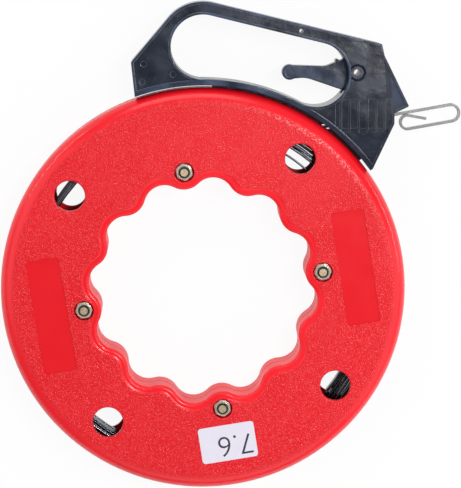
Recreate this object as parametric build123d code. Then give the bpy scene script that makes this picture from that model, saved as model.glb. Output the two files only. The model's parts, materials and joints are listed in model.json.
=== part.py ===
from build123d import *
from math import atan2, cos, degrees, hypot, pi, radians, sin, sqrt
import os

# Fish tape reel, lying on its back. Millimetres and degrees, +Z along the reel's axis,
# +Y towards the grip, and the origin on the axis in the plane of the back face.

# Cutting shapes run this far past the faces that they open, and bosses this far into their wall
PAST = 1.0
ROOT = 0.1

# Case: two moulded halves, bolted together round the hub and open in a slot at the rim
CASE_DIAMETER = 204.0
CASE_THICKNESS = 26.0
CASE_WALL = 2.2
CASE_TURN = 9.0
RIM_ROUND = 8.2
RIM_SLOT = 4.0
LIP_DEPTH = 5.0
LIP_THICKNESS = 2.4
HUB_WAVES = 12
HUB_CREST_RADIUS = 52.0
HUB_WAVE_DEPTH = 5.6
HUB_EDGE_ROUND = 1.8
HUB_LIP_WIDTH = 3.6
HUB_LIP_DROP = 0.4
HUB_LIP_ROUND = 0.3
HUB_SEAM = 0.25
WINDOW_COUNT = 4
WINDOW_RADIUS = 7.6
WINDOW_FROM_RIM = 19.7
WINDOW_EDGE_ROUND = 0.8
RIB_THICKNESS = 1.8
RIB_REACH = 9.0
PLATE_LENGTH = 58.0
PLATE_WIDTH = 16.8
PLATE_DEPTH = 0.5
PLATE_CORNER = 1.6
PLATE_FROM_RIM = 24.7

# Bolts through the hub bosses, with nyloc nuts
BOLT_COUNT = 4
BOLT_FROM_HUB = 8.8
BOLT_RADIUS = 2.5
BOLT_CLEARANCE = 0.15
BOLT_HEAD_FLATS = 8.0
BOLT_HEAD_HEIGHT = 3.5
BOLT_END_PROUD = 0.4
BOLT_END_CHAMFER = 0.5
RECESS_RADIUS = 6.2
NUT_RECESS_DEPTH = 5.6
HEAD_RECESS_DEPTH = 4.4
POST_RADIUS = 5.0
NUT_FLATS = 8.0
NUT_HEX_HEIGHT = 3.7
NUT_COLLAR_RADIUS = 3.7
NUT_COLLAR_HEIGHT = 1.4
NUT_COLLAR_ROUND = 0.4
INSERT_RADIUS = 3.2
INSERT_HEIGHT = 1.2
INSERT_SINK = 0.1

# Sticker on the front face
LABEL_LENGTH = 28.4
LABEL_WIDTH = 18.4
LABEL_CORNER = 1.6
LABEL_THICKNESS = 0.15
LABEL_DROP = 2.1

# Tape: a flat steel strip on edge, its width along the reel's axis
TAPE_THICKNESS = 1.3
TAPE_WIDTH = 3.2
COIL_FROM_RIM = 12.7
COIL_PITCH = 1.45
COIL_HALF_TURNS = 9
COIL_COLUMN_GAP = 0.4
COIL_OFFSET = 0.9
COIL_OFFSET_ANGLE = -45.0
LEAD_DROP = 10.5
LEAD_SWEEP = 51.0
ANCHOR_ANGLE = 90.0
ANCHOR_WALL = 0.8
ANCHOR_CLEARANCE = 0.15
ANCHOR_HEIGHT = 6.0
ANCHOR_CRIMP_SWEEP = 34.0

# Handle: two hollow halves, whose foot rides in the slot of the rim
HANDLE_DEPTH = 22.0
HANDLE_WALL = 2.4
HANDLE_CLEARANCE = 1.2
RAIL_THICKNESS = 3.0
OPENING_RADIUS = 16.0
OPENING_START = 90.0
OPENING_END = 62.5
BAR_THICKNESS = 6.4
HANDLE_START = 109.2
SHOULDER_HEIGHT = 17.0
SHOULDER_LEAN = 1.9
SHOULDER_ROUND = 1.4
HEEL_ANGLE = 35.9
HEEL_HEIGHT = 1.5
FACE_LINE = 1.2
FACE_POCKET = 0.6
FACE_EDGE_ROUND = 0.4
BAND_WIDTH = 2.6
NECK_START = 87.4
NECK_END = 39.4
NECK_CLEARANCE = 0.3
FOOT_THICKNESS = 3.4
FOOT_WIDTH = 12.0
FOOT_CLEARANCE = 0.4
LANYARD_RADIUS = 1.1
LANYARD_REACH = 45.6
CHANNEL_CLEARANCE = 0.7

# Nose: runs and heights from the handle's underside at NOSE_ANGLE
NOSE_ANGLE = 45.0
CROWN_RUN = 15.9
FOLD_HEAD_RUN = 17.2
FOLD_HEAD_HEIGHT = 44.8
FOLD_FOOT_RUN = 18.3
FOLD_FOOT_HEIGHT = 23.4
FIN_TIP_RUN = 30.0
FIN_TIP_HEIGHT = 19.4
FIN_FOOT_HEIGHT = 16.0
FIN_SLOPE = 17.0
MOUTH_HEIGHT = 14.6
MOUTH_OVERRUN = 4.0
CHIN_RUN = 22.4
CHIN_HEIGHT = 10.9
NOSE_ROUND = 0.6
PIVOT_INSET = 3.7
PIVOT_LIFT = 36.3

# Shallow marks that the mould's ejector pins leave in the face
MARK_RADIUS = 1.5
MARK_DEPTH = 0.15
TAIL_MARKS = [(-29.4, 10.6), (-14.9, 5.5), (-30.2, 1.8)]

# Fluted panel on the nose
FLUTE_COUNT = 6
FLUTE_PITCH = 4.4
FLUTE_FIRST = 17.6
FLUTE_WIDTH = 1.0
FLUTE_TOP = 23.2
FLUTE_STEP = 8.6
FLUTE_FOOT = 6.6
PANEL_DEPTH = 0.5
PANEL_STEP_DEPTH = 0.6

# Screws of the handle, driven from the rear
SCREW_RADIUS = 1.5
SCREW_CLEARANCE = 0.1
SCREW_HEAD_RADIUS = 2.7
SCREW_HEAD_HEIGHT = 1.9
SCREW_LENGTH = 14.0
SCREW_SINK = 3.0
SCREW_TIP_GAP = 1.6
SCREW_END_CHAMFER = 0.6
SCREW_HEAD_ROUND = 0.7
CROSS_LENGTH = 2.6
CROSS_WIDTH = 0.7
CROSS_DEPTH = 1.0
BOSS_WALL = 1.6
TAIL_SCREW_RUN = -26.0
TAIL_SCREW_HEIGHT = 6.3
CHIN_SCREW_RUN = 4.6
CHIN_SCREW_HEIGHT = 5.2
CROWN_SCREW_RUN = 11.0
CROWN_SCREW_HEIGHT = 45.4

# Trigger, its hollow rivet, and the brake that its cam presses on the tape
TRIGGER_THICKNESS = 8.0
TRIGGER_LENGTH = 33.3
TRIGGER_TIP_RADIUS = 3.8
TRIGGER_TIP_TOP = 3.5
TRIGGER_TIP_FOOT = 3.4
TRIGGER_NECK_RUN = 15.4
TRIGGER_NECK_TOP = 2.9
TRIGGER_NECK_ROUND = 9.0
TRIGGER_EAR_RUN = 6.5
TRIGGER_EAR_TOP = 6.6
TRIGGER_HEEL_RUN = 7.0
TRIGGER_HEEL_FOOT = 8.9
TRIGGER_CORNER_ROUND = 1.5
TRIGGER_BELLY_RUN = 25.5
TRIGGER_BELLY_FOOT = 2.6
TRIGGER_BELLY_ROUND = 14.0
TRIGGER_NUB_RUN = 9.6
TRIGGER_NUB_TOP = 5.6
TRIGGER_NUB_RADIUS = 1.0
TRIGGER_EDGE_ROUND = 0.4
TRIGGER_MARK_RADIUS = 2.3
TRIGGER_MARK_DEPTH = 0.2
TRIGGER_HUB_RADIUS = 5.5
TRIGGER_SIDE_GAP = 0.4
TRIGGER_REACH = 13.0
CAM_REACH = 8.0
CAM_LEAD = 1.0
CAM_DROP = 4.0
CAM_RADIUS = 2.8
CAM_GAP = 0.15
RIVET_RADIUS = 2.65
RIVET_BORE_RADIUS = 1.7
RIVET_CLEARANCE = 0.08
RIVET_FLANGE_RADIUS = 3.3
RIVET_FLANGE_HEIGHT = 0.6
RIVET_FLANGE_ROUND = 0.35
RIVET_SINK = 1.2
RIVET_DISH_RADIUS = 4.4
BRAKE_TRAVEL = 2.5
BRAKE_GRIP_GAP = 0.25
BRAKE_LENGTH = 9.0
BRAKE_WIDTH = 7.0
BRAKE_BLOCK = 2.1
BRAKE_STEM = 4.0
BRAKE_HEAD_LENGTH = 8.0
BRAKE_HEAD_WIDTH = 6.0
BRAKE_HEAD_HEIGHT = 1.65
BRAKE_SIDE_GAP = 0.25
PAD_THICKNESS = 1.5
PAD_WIDTH = 5.0
LEDGE_THICKNESS = 1.5
LEDGE_REACH = 3.0
SPRING_THICKNESS = 0.4
SPRING_LENGTH = 10.0
SPRING_WIDTH = 6.8
SPRING_GAP = 0.05

# Channel that the tape leaves by, and the hook bent from the tape's end
TAPE_RISE = 10.0
STRAIGHT_RUN = 30.0
FEED_LIFT = 2.4
FEED_START = 100.0
FEED_GAP = 0.2
GUIDE_FLOOR = 1.5
GUIDE_CHEEK = 1.3
GUIDE_CLEARANCE = 0.25
GUIDE_LENGTH = 24.0
GUIDE_BED = 2.0
GUIDE_BED_REACH = 2.0
GUIDE_SETBACK = 0.3
GUIDE_TOP_DROP = 0.1
HOOK_ARM = 29.0
HOOK_END_RADIUS = 4.15
HOOK_RETURN = 22.3
HOOK_CURL_RADIUS = 3.45
HOOK_CURL_TURN = 200.7
HOOK_TAIL = 9.0

# Places that follow from the sizes
CASE_RADIUS = CASE_DIAMETER / 2
MID = CASE_THICKNESS / 2
WINDOW_CIRCLE = CASE_RADIUS - WINDOW_FROM_RIM
PLATE_CIRCLE = CASE_RADIUS - PLATE_FROM_RIM
HUB_HOLLOW_RADIUS = HUB_CREST_RADIUS + HUB_WAVE_DEPTH
BOLT_CIRCLE = HUB_CREST_RADIUS + BOLT_FROM_HUB
LABEL_CIRCLE = (BOLT_CIRCLE + RECESS_RADIUS + CASE_RADIUS - RIM_ROUND) / 2 - LABEL_DROP
COIL_OUTER_RADIUS = CASE_RADIUS - COIL_FROM_RIM
LEAD_RADIUS = COIL_OUTER_RADIUS - LEAD_DROP
FEED_RADIUS = COIL_OUTER_RADIUS + FEED_LIFT
RAIL_INNER = CASE_RADIUS + HANDLE_CLEARANCE
RAIL_OUTER = RAIL_INNER + RAIL_THICKNESS
HALF_DEPTH = HANDLE_DEPTH / 2
INNER_DEPTH = HALF_DEPTH - HANDLE_WALL
FOOT_OUTER = CASE_RADIUS - LIP_DEPTH - FOOT_CLEARANCE
NECK_HALF = RIM_SLOT / 2 - NECK_CLEARANCE
TAPE_HALF = TAPE_THICKNESS / 2


def polar(radius, angle):
    return (radius * cos(radians(angle)), radius * sin(radians(angle)))


def nose(x, y):
    """A point of the nose, measured from the handle's underside at NOSE_ANGLE."""
    base_x, base_y = polar(RAIL_INNER, NOSE_ANGLE)
    return (base_x + x, base_y + y)


PIVOT = nose(PIVOT_INSET, PIVOT_LIFT)
MOUTH = nose(CHIN_RUN, MOUTH_HEIGHT)
FOLD_HEAD = nose(FOLD_HEAD_RUN, FOLD_HEAD_HEIGHT)
FOLD_FOOT = nose(FOLD_FOOT_RUN, FOLD_FOOT_HEIGHT)
FIN_TIP = nose(FIN_TIP_RUN, FIN_TIP_HEIGHT)
SCREW_PLACES = [
    (TAIL_SCREW_RUN, RAIL_INNER + TAIL_SCREW_HEIGHT),
    nose(CHIN_SCREW_RUN, CHIN_SCREW_HEIGHT),
    nose(CROWN_SCREW_RUN, CROWN_SCREW_HEIGHT),
]
MARK_PLACES = [(x, RAIL_INNER + y) for x, y in TAIL_MARKS]


def along_tape(run, height):
    """A point given by its run past the mouth and its height over the tape's middle line."""
    step_x, step_y = polar(run, TAPE_RISE)
    lift_x, lift_y = polar(height, TAPE_RISE + 90)
    return (MOUTH[0] + step_x + lift_x, MOUTH[1] + step_y + lift_y)


def seen_from_mouth(point):
    """Run and height of a point, the inverse of along_tape."""
    dx, dy = point[0] - MOUTH[0], point[1] - MOUTH[1]
    c, s = cos(radians(TAPE_RISE)), sin(radians(TAPE_RISE))
    return (dx * c + dy * s, dy * c - dx * s)


PIVOT_RUN, PIVOT_HEIGHT = seen_from_mouth(PIVOT)
BRAKE_RUN = PIVOT_RUN + CAM_REACH - CAM_LEAD
HEAD_TOP = PIVOT_HEIGHT - CAM_DROP - CAM_RADIUS - CAM_GAP
PAD_BOTTOM = TAPE_HALF + BRAKE_GRIP_GAP + BRAKE_TRAVEL
BLOCK_BOTTOM = PAD_BOTTOM + PAD_THICKNESS
BLOCK_TOP = BLOCK_BOTTOM + BRAKE_BLOCK
LEDGE_TOP = BLOCK_TOP + BRAKE_SIDE_GAP + LEDGE_THICKNESS
GUIDE_TOP = -TAPE_HALF - GUIDE_CLEARANCE
GUIDE_BOTTOM = GUIDE_TOP - GUIDE_FLOOR
GUIDE_HALF = TAPE_WIDTH / 2 + GUIDE_CLEARANCE + GUIDE_CHEEK


# ---------------------------------------------------------------- shared helpers

def lift(face, low, high):
    """Extrude a flat outline from one height to another."""
    return extrude(Pos(0, 0, low) * face, amount=high - low, dir=(0, 0, 1))


def disc(centre, radius):
    return Pos(*centre) * Circle(radius)


def outline(points):
    return make_face(Polyline(*points, close=True))


def bar(centre, length, width, turn=0.0):
    return Pos(*centre) * Rot(0, 0, turn) * Rectangle(length, width)


def rounded(face, point, radius):
    """Round the corner of a flat outline nearest to a point."""
    return fillet(face.vertices().sort_by_distance((*point, 0))[0], radius)


def tape_block(run_low, run_high, height_low, height_high, half_width, low=None):
    """A block square to the tape near the mouth, centred on the middle plane unless low is given."""
    centre = along_tape((run_low + run_high) / 2, (height_low + height_high) / 2)
    plan = bar(centre, run_high - run_low, height_high - height_low, TAPE_RISE)
    return lift(plan, -half_width if low is None else low, half_width)


def bent_strip(start, heading, moves, thickness):
    """Plan of a strip bent from flat stock.

    Each move is (length, 0) for a straight run or (radius, turn) for a bend, positive to the left.
    """
    sides = {1: [], -1: []}
    ends = {}
    x, y = start
    for size, turn in moves:
        way = 1 if turn >= 0 else -1
        angle = radians(heading)
        centre = (x - way * size * sin(angle), y + way * size * cos(angle))

        def on_bend(share, offset):
            bearing = radians(heading + share * turn)
            reach = way * size - offset
            return (centre[0] + reach * sin(bearing), centre[1] - reach * cos(bearing))

        def on_run(share, offset):
            run = share * size
            return (x + run * cos(angle) - offset * sin(angle), y + run * sin(angle) + offset * cos(angle))

        place = on_bend if turn else on_run
        for side in sides:
            offset = side * thickness / 2
            first, middle, last = (place(share, offset) for share in (0, 0.5, 1))
            sides[side].append(ThreePointArc(first, middle, last) if turn else Line(first, last))
            ends.setdefault(side, [first, last])[1] = last
        x, y = place(1, 0)
        heading += turn
    caps = [Line(ends[1][end], ends[-1][end]) for end in (0, 1)]
    return make_face(sides[1] + sides[-1] + caps)


def hexagon(flats):
    return RegularPolygon(flats / 2, 6, major_radius=False)


def chamfered_hex(flats, height):
    """A hexagonal prism whose corners are turned down at the upper end."""
    across_corners = flats / sqrt(3)
    turned = Cylinder(across_corners, height, align=(Align.CENTER, Align.CENTER, Align.MIN))
    turned = chamfer(turned.edges().sort_by(Axis.Z)[-1], (across_corners - flats / 2) * 0.8)
    return lift(hexagon(flats), 0, height) & turned


# ---------------------------------------------------------------- case

def hub_wave(grow=0.0):
    """Outline of the hub opening: crests towards the axis and hollows away from it, in tangent arcs."""
    half_step = pi / HUB_WAVES
    swing = HUB_HOLLOW_RADIUS - HUB_CREST_RADIUS
    total = HUB_HOLLOW_RADIUS + HUB_CREST_RADIUS
    k = (1 - cos(half_step)) / 2
    bend = (sqrt((1 - k) * swing ** 2 + (k * total) ** 2) - (1 - k) * swing) / (2 * k)
    step = 360 / HUB_WAVES

    def joint(crest, hollow):
        """Where the arc of a crest meets the arc of a hollow beside it."""
        crest_x, crest_y = polar(HUB_CREST_RADIUS + bend, crest * step)
        hollow_x, hollow_y = polar(HUB_HOLLOW_RADIUS - bend, hollow * step)
        share = (bend + grow) / (2 * bend)
        return (hollow_x + (crest_x - hollow_x) * share, hollow_y + (crest_y - hollow_y) * share)

    arcs = []
    for wave in range(HUB_WAVES):
        before, after = joint(wave, wave - 0.5), joint(wave, wave + 0.5)
        following = joint(wave + 1, wave + 0.5)
        arcs.append(ThreePointArc(before, polar(HUB_CREST_RADIUS + grow, wave * step), after))
        hollow = polar(HUB_HOLLOW_RADIUS + grow, (wave + 0.5) * step)
        arcs.append(ThreePointArc(after, hollow, following))
    return make_face(arcs)


def spun(points, corner, radius):
    """Turn a section, given as (radius, height) points, round the axis after rounding one corner."""
    return revolve(Plane.XZ * rounded(outline(points), corner, radius), Axis.Z)


def hub_edges(mass, height):
    """The closed chain of edges nearest the axis at one height."""
    level = mass.edges().filter_by_position(Axis.Z, height, height)
    return level.sort_by(lambda edge: hypot(edge.center().X, edge.center().Y))[:2 * HUB_WAVES]


def case_shell():
    """One half of the case as a hollow shell, from its mating plane at height 0 up to its face."""
    inside = HUB_CREST_RADIUS - CASE_WALL
    slot, lip = RIM_SLOT / 2, RIM_SLOT / 2 + LIP_THICKNESS
    rim, beyond = CASE_RADIUS - CASE_WALL, CASE_RADIUS + PAST
    roof = MID - CASE_WALL
    lip_edge = CASE_RADIUS - LIP_DEPTH
    block = [(inside, 0), (CASE_RADIUS, 0), (CASE_RADIUS, MID), (inside, MID)]
    mass = spun(block, (CASE_RADIUS, MID), RIM_ROUND)
    room = spun(
        [(inside, -PAST), (beyond, -PAST), (beyond, slot), (lip_edge, slot), (lip_edge, lip), (rim, lip),
         (rim, roof), (inside, roof)],
        (rim, roof), RIM_ROUND - CASE_WALL)
    mass -= lift(hub_wave(), -PAST, MID + PAST)
    mass -= lift(hub_wave(HUB_LIP_WIDTH), MID - HUB_LIP_DROP, MID + PAST)
    mass = fillet(hub_edges(mass, MID), HUB_LIP_ROUND)
    mass = fillet(hub_edges(mass, MID - HUB_LIP_DROP), HUB_EDGE_ROUND)
    mass = chamfer(hub_edges(mass, 0), HUB_SEAM)
    return mass - (room - lift(hub_wave(CASE_WALL), -2 * PAST, MID))


def case_ribs():
    """Gussets behind the crests of the hub wall that carry no bolt."""
    ribs = []
    inner, outer = HUB_CREST_RADIUS + CASE_WALL / 2, HUB_CREST_RADIUS + CASE_WALL + RIB_REACH
    waves_per_bolt = HUB_WAVES // BOLT_COUNT
    for wave in range(HUB_WAVES):
        if wave % waves_per_bolt:
            plan = bar(((inner + outer) / 2, 0), outer - inner, RIB_THICKNESS)
            turn = Rot(0, 0, wave * 360 / HUB_WAVES)
            ribs.append(lift(turn * plan, RIM_SLOT / 2, MID - CASE_WALL / 2))
    return ribs


def case_half(recess_depth):
    """Half of the case with its bosses, ribs and windows."""
    floor = MID - recess_depth
    cup = lift(Circle(RECESS_RADIUS + CASE_WALL), floor - CASE_WALL, MID - CASE_WALL / 2)
    post = lift(Circle(POST_RADIUS), 0, floor)
    places = PolarLocations(BOLT_CIRCLE, BOLT_COUNT)
    bosses = [place * solid for place in places for solid in (cup, post)]
    half = case_shell().fuse(*bosses, *case_ribs())
    for place in PolarLocations(BOLT_CIRCLE, BOLT_COUNT):
        half -= place * lift(Circle(RECESS_RADIUS), floor, MID + PAST)
        half -= place * lift(Circle(BOLT_RADIUS + BOLT_CLEARANCE), -PAST, MID)
    for place in PolarLocations(WINDOW_CIRCLE, WINDOW_COUNT, 180 / WINDOW_COUNT):
        half -= place * lift(Circle(WINDOW_RADIUS), 0, MID + PAST)
    face_edges = half.edges().filter_by(GeomType.CIRCLE).filter_by_position(Axis.Z, MID, MID)
    rings = [edge for edge in face_edges if abs(edge.radius - WINDOW_RADIUS) < BOLT_CLEARANCE]
    return fillet(rings, WINDOW_EDGE_ROUND)


def case_front():
    half = case_half(NUT_RECESS_DEPTH)
    plate = fillet(Rectangle(PLATE_WIDTH, PLATE_LENGTH).vertices(), PLATE_CORNER)
    for side in (-1, 1):
        half -= Pos(side * PLATE_CIRCLE, 0, 0) * lift(plate, MID - PLATE_DEPTH, MID + PAST)
    return Pos(0, 0, MID) * Rot(0, 0, CASE_TURN) * half


def case_back():
    half = mirror(case_half(HEAD_RECESS_DEPTH), about=Plane.XY)
    return Pos(0, 0, MID) * Rot(0, 0, CASE_TURN) * half


def bolt():
    """A hex bolt standing on its head, which rests on the plane at height 0."""
    grip = CASE_THICKNESS - HEAD_RECESS_DEPTH + BOLT_END_PROUD
    head = Rot(180, 0, 0) * chamfered_hex(BOLT_HEAD_FLATS, BOLT_HEAD_HEIGHT)
    shank = Cylinder(BOLT_RADIUS, grip, align=(Align.CENTER, Align.CENTER, Align.MIN))
    return head + chamfer(shank.edges().sort_by(Axis.Z)[-1], BOLT_END_CHAMFER)


def nut():
    """A nyloc nut: hexagon, turned collar and the groove for its insert."""
    height = NUT_HEX_HEIGHT + NUT_COLLAR_HEIGHT
    collar = Cylinder(NUT_COLLAR_RADIUS, height, align=(Align.CENTER, Align.CENTER, Align.MIN))
    collar = fillet(collar.edges().sort_by(Axis.Z)[-1], NUT_COLLAR_ROUND)
    body = chamfered_hex(NUT_FLATS, NUT_HEX_HEIGHT) + collar
    body -= lift(Circle(BOLT_RADIUS + BOLT_CLEARANCE), -PAST, height + PAST)
    return body - lift(Circle(INSERT_RADIUS), height - INSERT_HEIGHT, height + PAST)


def insert():
    ring = Circle(INSERT_RADIUS - BOLT_CLEARANCE / 2) - Circle(BOLT_RADIUS + BOLT_CLEARANCE)
    top = NUT_HEX_HEIGHT + NUT_COLLAR_HEIGHT
    return lift(ring, top - INSERT_HEIGHT, top - INSERT_SINK)


def round_the_hub(piece, height):
    """A copy of the piece on each bolt's axis."""
    places = PolarLocations(BOLT_CIRCLE, BOLT_COUNT, CASE_TURN)
    return Compound(children=[Pos(0, 0, height) * place * piece for place in places])


def length_label():
    plan = fillet(Rectangle(LABEL_LENGTH, LABEL_WIDTH).vertices(), LABEL_CORNER)
    place = Pos(*polar(LABEL_CIRCLE, CASE_TURN - 90)) * Rot(0, 0, CASE_TURN)
    return lift(place * plan, CASE_THICKNESS, CASE_THICKNESS + LABEL_THICKNESS)


# ---------------------------------------------------------------- tape

def spiral_moves(half_turns):
    """Half turns to the left, each tighter than the one before by half the pitch."""
    first = COIL_OUTER_RADIUS - TAPE_HALF
    return [(first - step * COIL_PITCH / 2, 180) for step in range(half_turns)]


def coil_shift():
    """The coil lies a little off the axis, in the case's own frame."""
    return polar(COIL_OFFSET, COIL_OFFSET_ANGLE - CASE_TURN)


def anchor_place():
    """The boss that holds the tape's inner end, seen from the coil's own middle."""
    boss_x, boss_y = polar(BOLT_CIRCLE, ANCHOR_ANGLE)
    shift_x, shift_y = coil_shift()
    return boss_x - shift_x, boss_y - shift_y


def lead_moves():
    """From the last full turn, round to the boss that the anchor holds."""
    turns = COIL_HALF_TURNS - 1
    last = COIL_OUTER_RADIUS - TAPE_HALF - (turns - 1) * COIL_PITCH / 2
    across = last + LEAD_RADIUS
    boss_x, boss_y = anchor_place()
    start_x, start_y = polar(LEAD_RADIUS, LEAD_SWEEP)
    away = (start_x - boss_x, start_y - boss_y)
    outward = away[0] * cos(radians(LEAD_SWEEP)) + away[1] * sin(radians(LEAD_SWEEP))
    eye = POST_RADIUS + 2 * ANCHOR_CLEARANCE + ANCHOR_WALL + TAPE_HALF
    bend = (away[0] ** 2 + away[1] ** 2 - eye ** 2) / (2 * (outward - eye))
    centre = polar(LEAD_RADIUS - bend, LEAD_SWEEP)
    end = degrees(atan2(boss_y - centre[1], boss_x - centre[0])) % 360
    return [(across / 2, 180), (LEAD_RADIUS, LEAD_SWEEP), (bend, end - LEAD_SWEEP)], end


def coil_column(half_turns, extra=(), thickness=TAPE_THICKNESS):
    """One column of turns, from its outer end inwards, ending on the case's own X axis."""
    first = COIL_OUTER_RADIUS - TAPE_HALF
    begin = -first if half_turns % 2 == 0 else first
    heading = -90 if half_turns % 2 == 0 else 90
    return bent_strip((begin, 0), heading, spiral_moves(half_turns) + list(extra), thickness)


def tape_coil():
    half = TAPE_WIDTH / 2
    step = TAPE_WIDTH + COIL_COLUMN_GAP
    outer_plan = coil_column(COIL_HALF_TURNS)
    columns = [lift(outer_plan, side * step - half, side * step + half) for side in (-1, 1)]
    lead, _ = lead_moves()
    columns.append(lift(coil_column(COIL_HALF_TURNS - 1, lead), -half, half))
    place = Pos(0, 0, MID) * Rot(0, 0, CASE_TURN) * Pos(*coil_shift())
    return Compound(children=[place * column for column in columns])


def tape_anchor():
    """A steel eye round the boss, crimped over the tape's inner end."""
    inner = POST_RADIUS + ANCHOR_CLEARANCE
    outer = inner + ANCHOR_WALL
    lead, end = lead_moves()
    crimp_outer = outer + TAPE_THICKNESS + 2 * ANCHOR_CLEARANCE + ANCHOR_WALL
    first, last = end - ANCHOR_CRIMP_SWEEP / 2, end + ANCHOR_CRIMP_SWEEP / 2
    corners = [(0, 0), polar(3 * crimp_outer, first), polar(3 * crimp_outer, last)]
    crimp = Circle(crimp_outer) & outline(corners)
    half = ANCHOR_HEIGHT / 2
    body = Pos(*anchor_place()) * lift(Circle(outer) + crimp - Circle(inner), -half, half)
    slot = TAPE_WIDTH / 2 + ANCHOR_CLEARANCE
    tape = coil_column(COIL_HALF_TURNS - 1, lead, TAPE_THICKNESS + 2 * ANCHOR_CLEARANCE)
    body -= lift(tape, -slot, slot)
    return Pos(0, 0, MID) * Rot(0, 0, CASE_TURN) * Pos(*coil_shift()) * body


def feed_bend():
    """Bend that leads the tape off the coil into line with the mouth, and the angle where it starts."""
    foot = along_tape(-STRAIGHT_RUN, 0)
    across = foot[1] * cos(radians(TAPE_RISE)) - foot[0] * sin(radians(TAPE_RISE))
    bend = (hypot(*foot) ** 2 - FEED_RADIUS ** 2) / (2 * (FEED_RADIUS - across))
    centre = along_tape(-STRAIGHT_RUN, bend)
    return bend, degrees(atan2(centre[1], centre[0]))


def feed_plan(thickness, start=FEED_START, overrun=0.0):
    bend, leave = feed_bend()
    moves = [(FEED_RADIUS, leave - start), (bend, TAPE_RISE + 90 - leave)]
    if overrun:
        moves.append((overrun, 0))
    return bent_strip(polar(FEED_RADIUS, start), start - 90, moves, thickness)


def tape_feed():
    half = TAPE_WIDTH / 2
    body = lift(feed_plan(TAPE_THICKNESS), -half, half)
    thick = TAPE_THICKNESS
    body -= tape_block(-STRAIGHT_RUN - FEED_GAP, PAST - STRAIGHT_RUN, -thick, thick, half + PAST)
    return Pos(0, 0, MID) * body


def tape_end():
    """The tape's straight end and the hook bent from it."""
    moves = [
        (STRAIGHT_RUN + HOOK_ARM, 0),
        (HOOK_END_RADIUS, -180),
        (HOOK_RETURN, 0),
        (HOOK_CURL_RADIUS, -HOOK_CURL_TURN),
        (HOOK_TAIL, 0),
    ]
    plan = bent_strip(along_tape(-STRAIGHT_RUN, 0), TAPE_RISE, moves, TAPE_THICKNESS)
    return lift(plan, MID - TAPE_WIDTH / 2, MID + TAPE_WIDTH / 2)


# ---------------------------------------------------------------- handle

def opening_frame():
    """Ends, direction and length of the grip opening's middle line."""
    reach = RAIL_OUTER + OPENING_RADIUS
    left, right = polar(reach, OPENING_START), polar(reach, OPENING_END)
    dx, dy = right[0] - left[0], right[1] - left[1]
    return left, right, degrees(atan2(dy, dx)), hypot(dx, dy)


def opening_plan(grow=0.0):
    """The grip opening: two round ends, the bar above them and the rail, an arc round the case, below."""
    left, right, turn, length = opening_frame()
    middle = ((left[0] + right[0]) / 2, (left[1] + right[1]) / 2)
    slot = Pos(*middle) * Rot(0, 0, turn) * SlotCenterToCenter(length, 2 * (OPENING_RADIUS + grow))
    return slot - Circle(RAIL_OUTER - grow)


def beside_bar(run, height):
    """A point by its run along the grip bar and its height over the opening's middle line."""
    left, _, turn, _ = opening_frame()
    step_x, step_y = polar(run, turn)
    up_x, up_y = polar(height, turn + 90)
    return (left[0] + step_x + up_x, left[1] + step_y + up_y)


def crown_line():
    """The upper edge of the grip bar: where it starts over the opening, and its corner at the nose."""
    _, _, turn, _ = opening_frame()
    start = beside_bar(0, OPENING_RADIUS + BAR_THICKNESS)
    corner_x, _ = nose(CROWN_RUN, 0)
    slope = sin(radians(turn)) / cos(radians(turn))
    return start, (corner_x, start[1] + (corner_x - start[0]) * slope)


def tail_line():
    """The shoulder behind the opening, and the arc that leads round the opening to the crown."""
    left, _, turn, _ = opening_frame()
    over = OPENING_RADIUS + BAR_THICKNESS
    shoulder = polar(RAIL_INNER + SHOULDER_HEIGHT, HANDLE_START - SHOULDER_LEAN)
    dx, dy = shoulder[0] - left[0], shoulder[1] - left[1]
    spread = degrees(atan2(sqrt(dx * dx + dy * dy - over * over), over))
    touch_angle = (degrees(atan2(dy, dx)) - spread) % 360
    touch_x, touch_y = polar(over, touch_angle)
    top_x, top_y = polar(over, (touch_angle + turn + 90) / 2)
    return (left[0] + top_x, left[1] + top_y), (left[0] + touch_x, left[1] + touch_y), shoulder


def handle_plan():
    """Outline of the handle from its tail to the fin at the nose, without the grip opening."""
    crown, corner = crown_line()
    top, touch, shoulder = tail_line()
    start, heel = polar(RAIL_INNER, HANDLE_START), polar(RAIL_INNER, HEEL_ANGLE)
    heel_top = polar(RAIL_INNER + HEEL_HEIGHT, HEEL_ANGLE)
    chin, foot = nose(CHIN_RUN, CHIN_HEIGHT), nose(CHIN_RUN, FIN_FOOT_HEIGHT)
    path = [heel, heel_top, chin, foot, FIN_TIP, FOLD_HEAD, corner, crown]
    edges = [Line(a, b) for a, b in zip(path, path[1:])]
    edges.append(ThreePointArc(crown, top, touch))
    edges += [Line(touch, shoulder), Line(shoulder, start)]
    edges.append(ThreePointArc(start, polar(RAIL_INNER, (HANDLE_START + HEEL_ANGLE) / 2), heel))
    plan = rounded(make_face(edges), shoulder, SHOULDER_ROUND)
    for point in (corner, FIN_TIP, chin, heel_top):
        plan = rounded(plan, point, NOSE_ROUND)
    return plan


def fin_field():
    """The field in front of the fold, where the face slopes down to the fin's edge."""
    head, foot = FOLD_HEAD, FOLD_FOOT
    beyond = (2 * head[0] - foot[0], 2 * head[1] - foot[1])
    side = nose(CHIN_RUN - FACE_LINE, 0)[0]
    low, far = nose(0, FIN_FOOT_HEIGHT)[1], nose(2 * CHIN_RUN, 0)[0]
    return outline([beyond, foot, (side, foot[1]), (side, low), (far, low), (far, beyond[1])])


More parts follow.
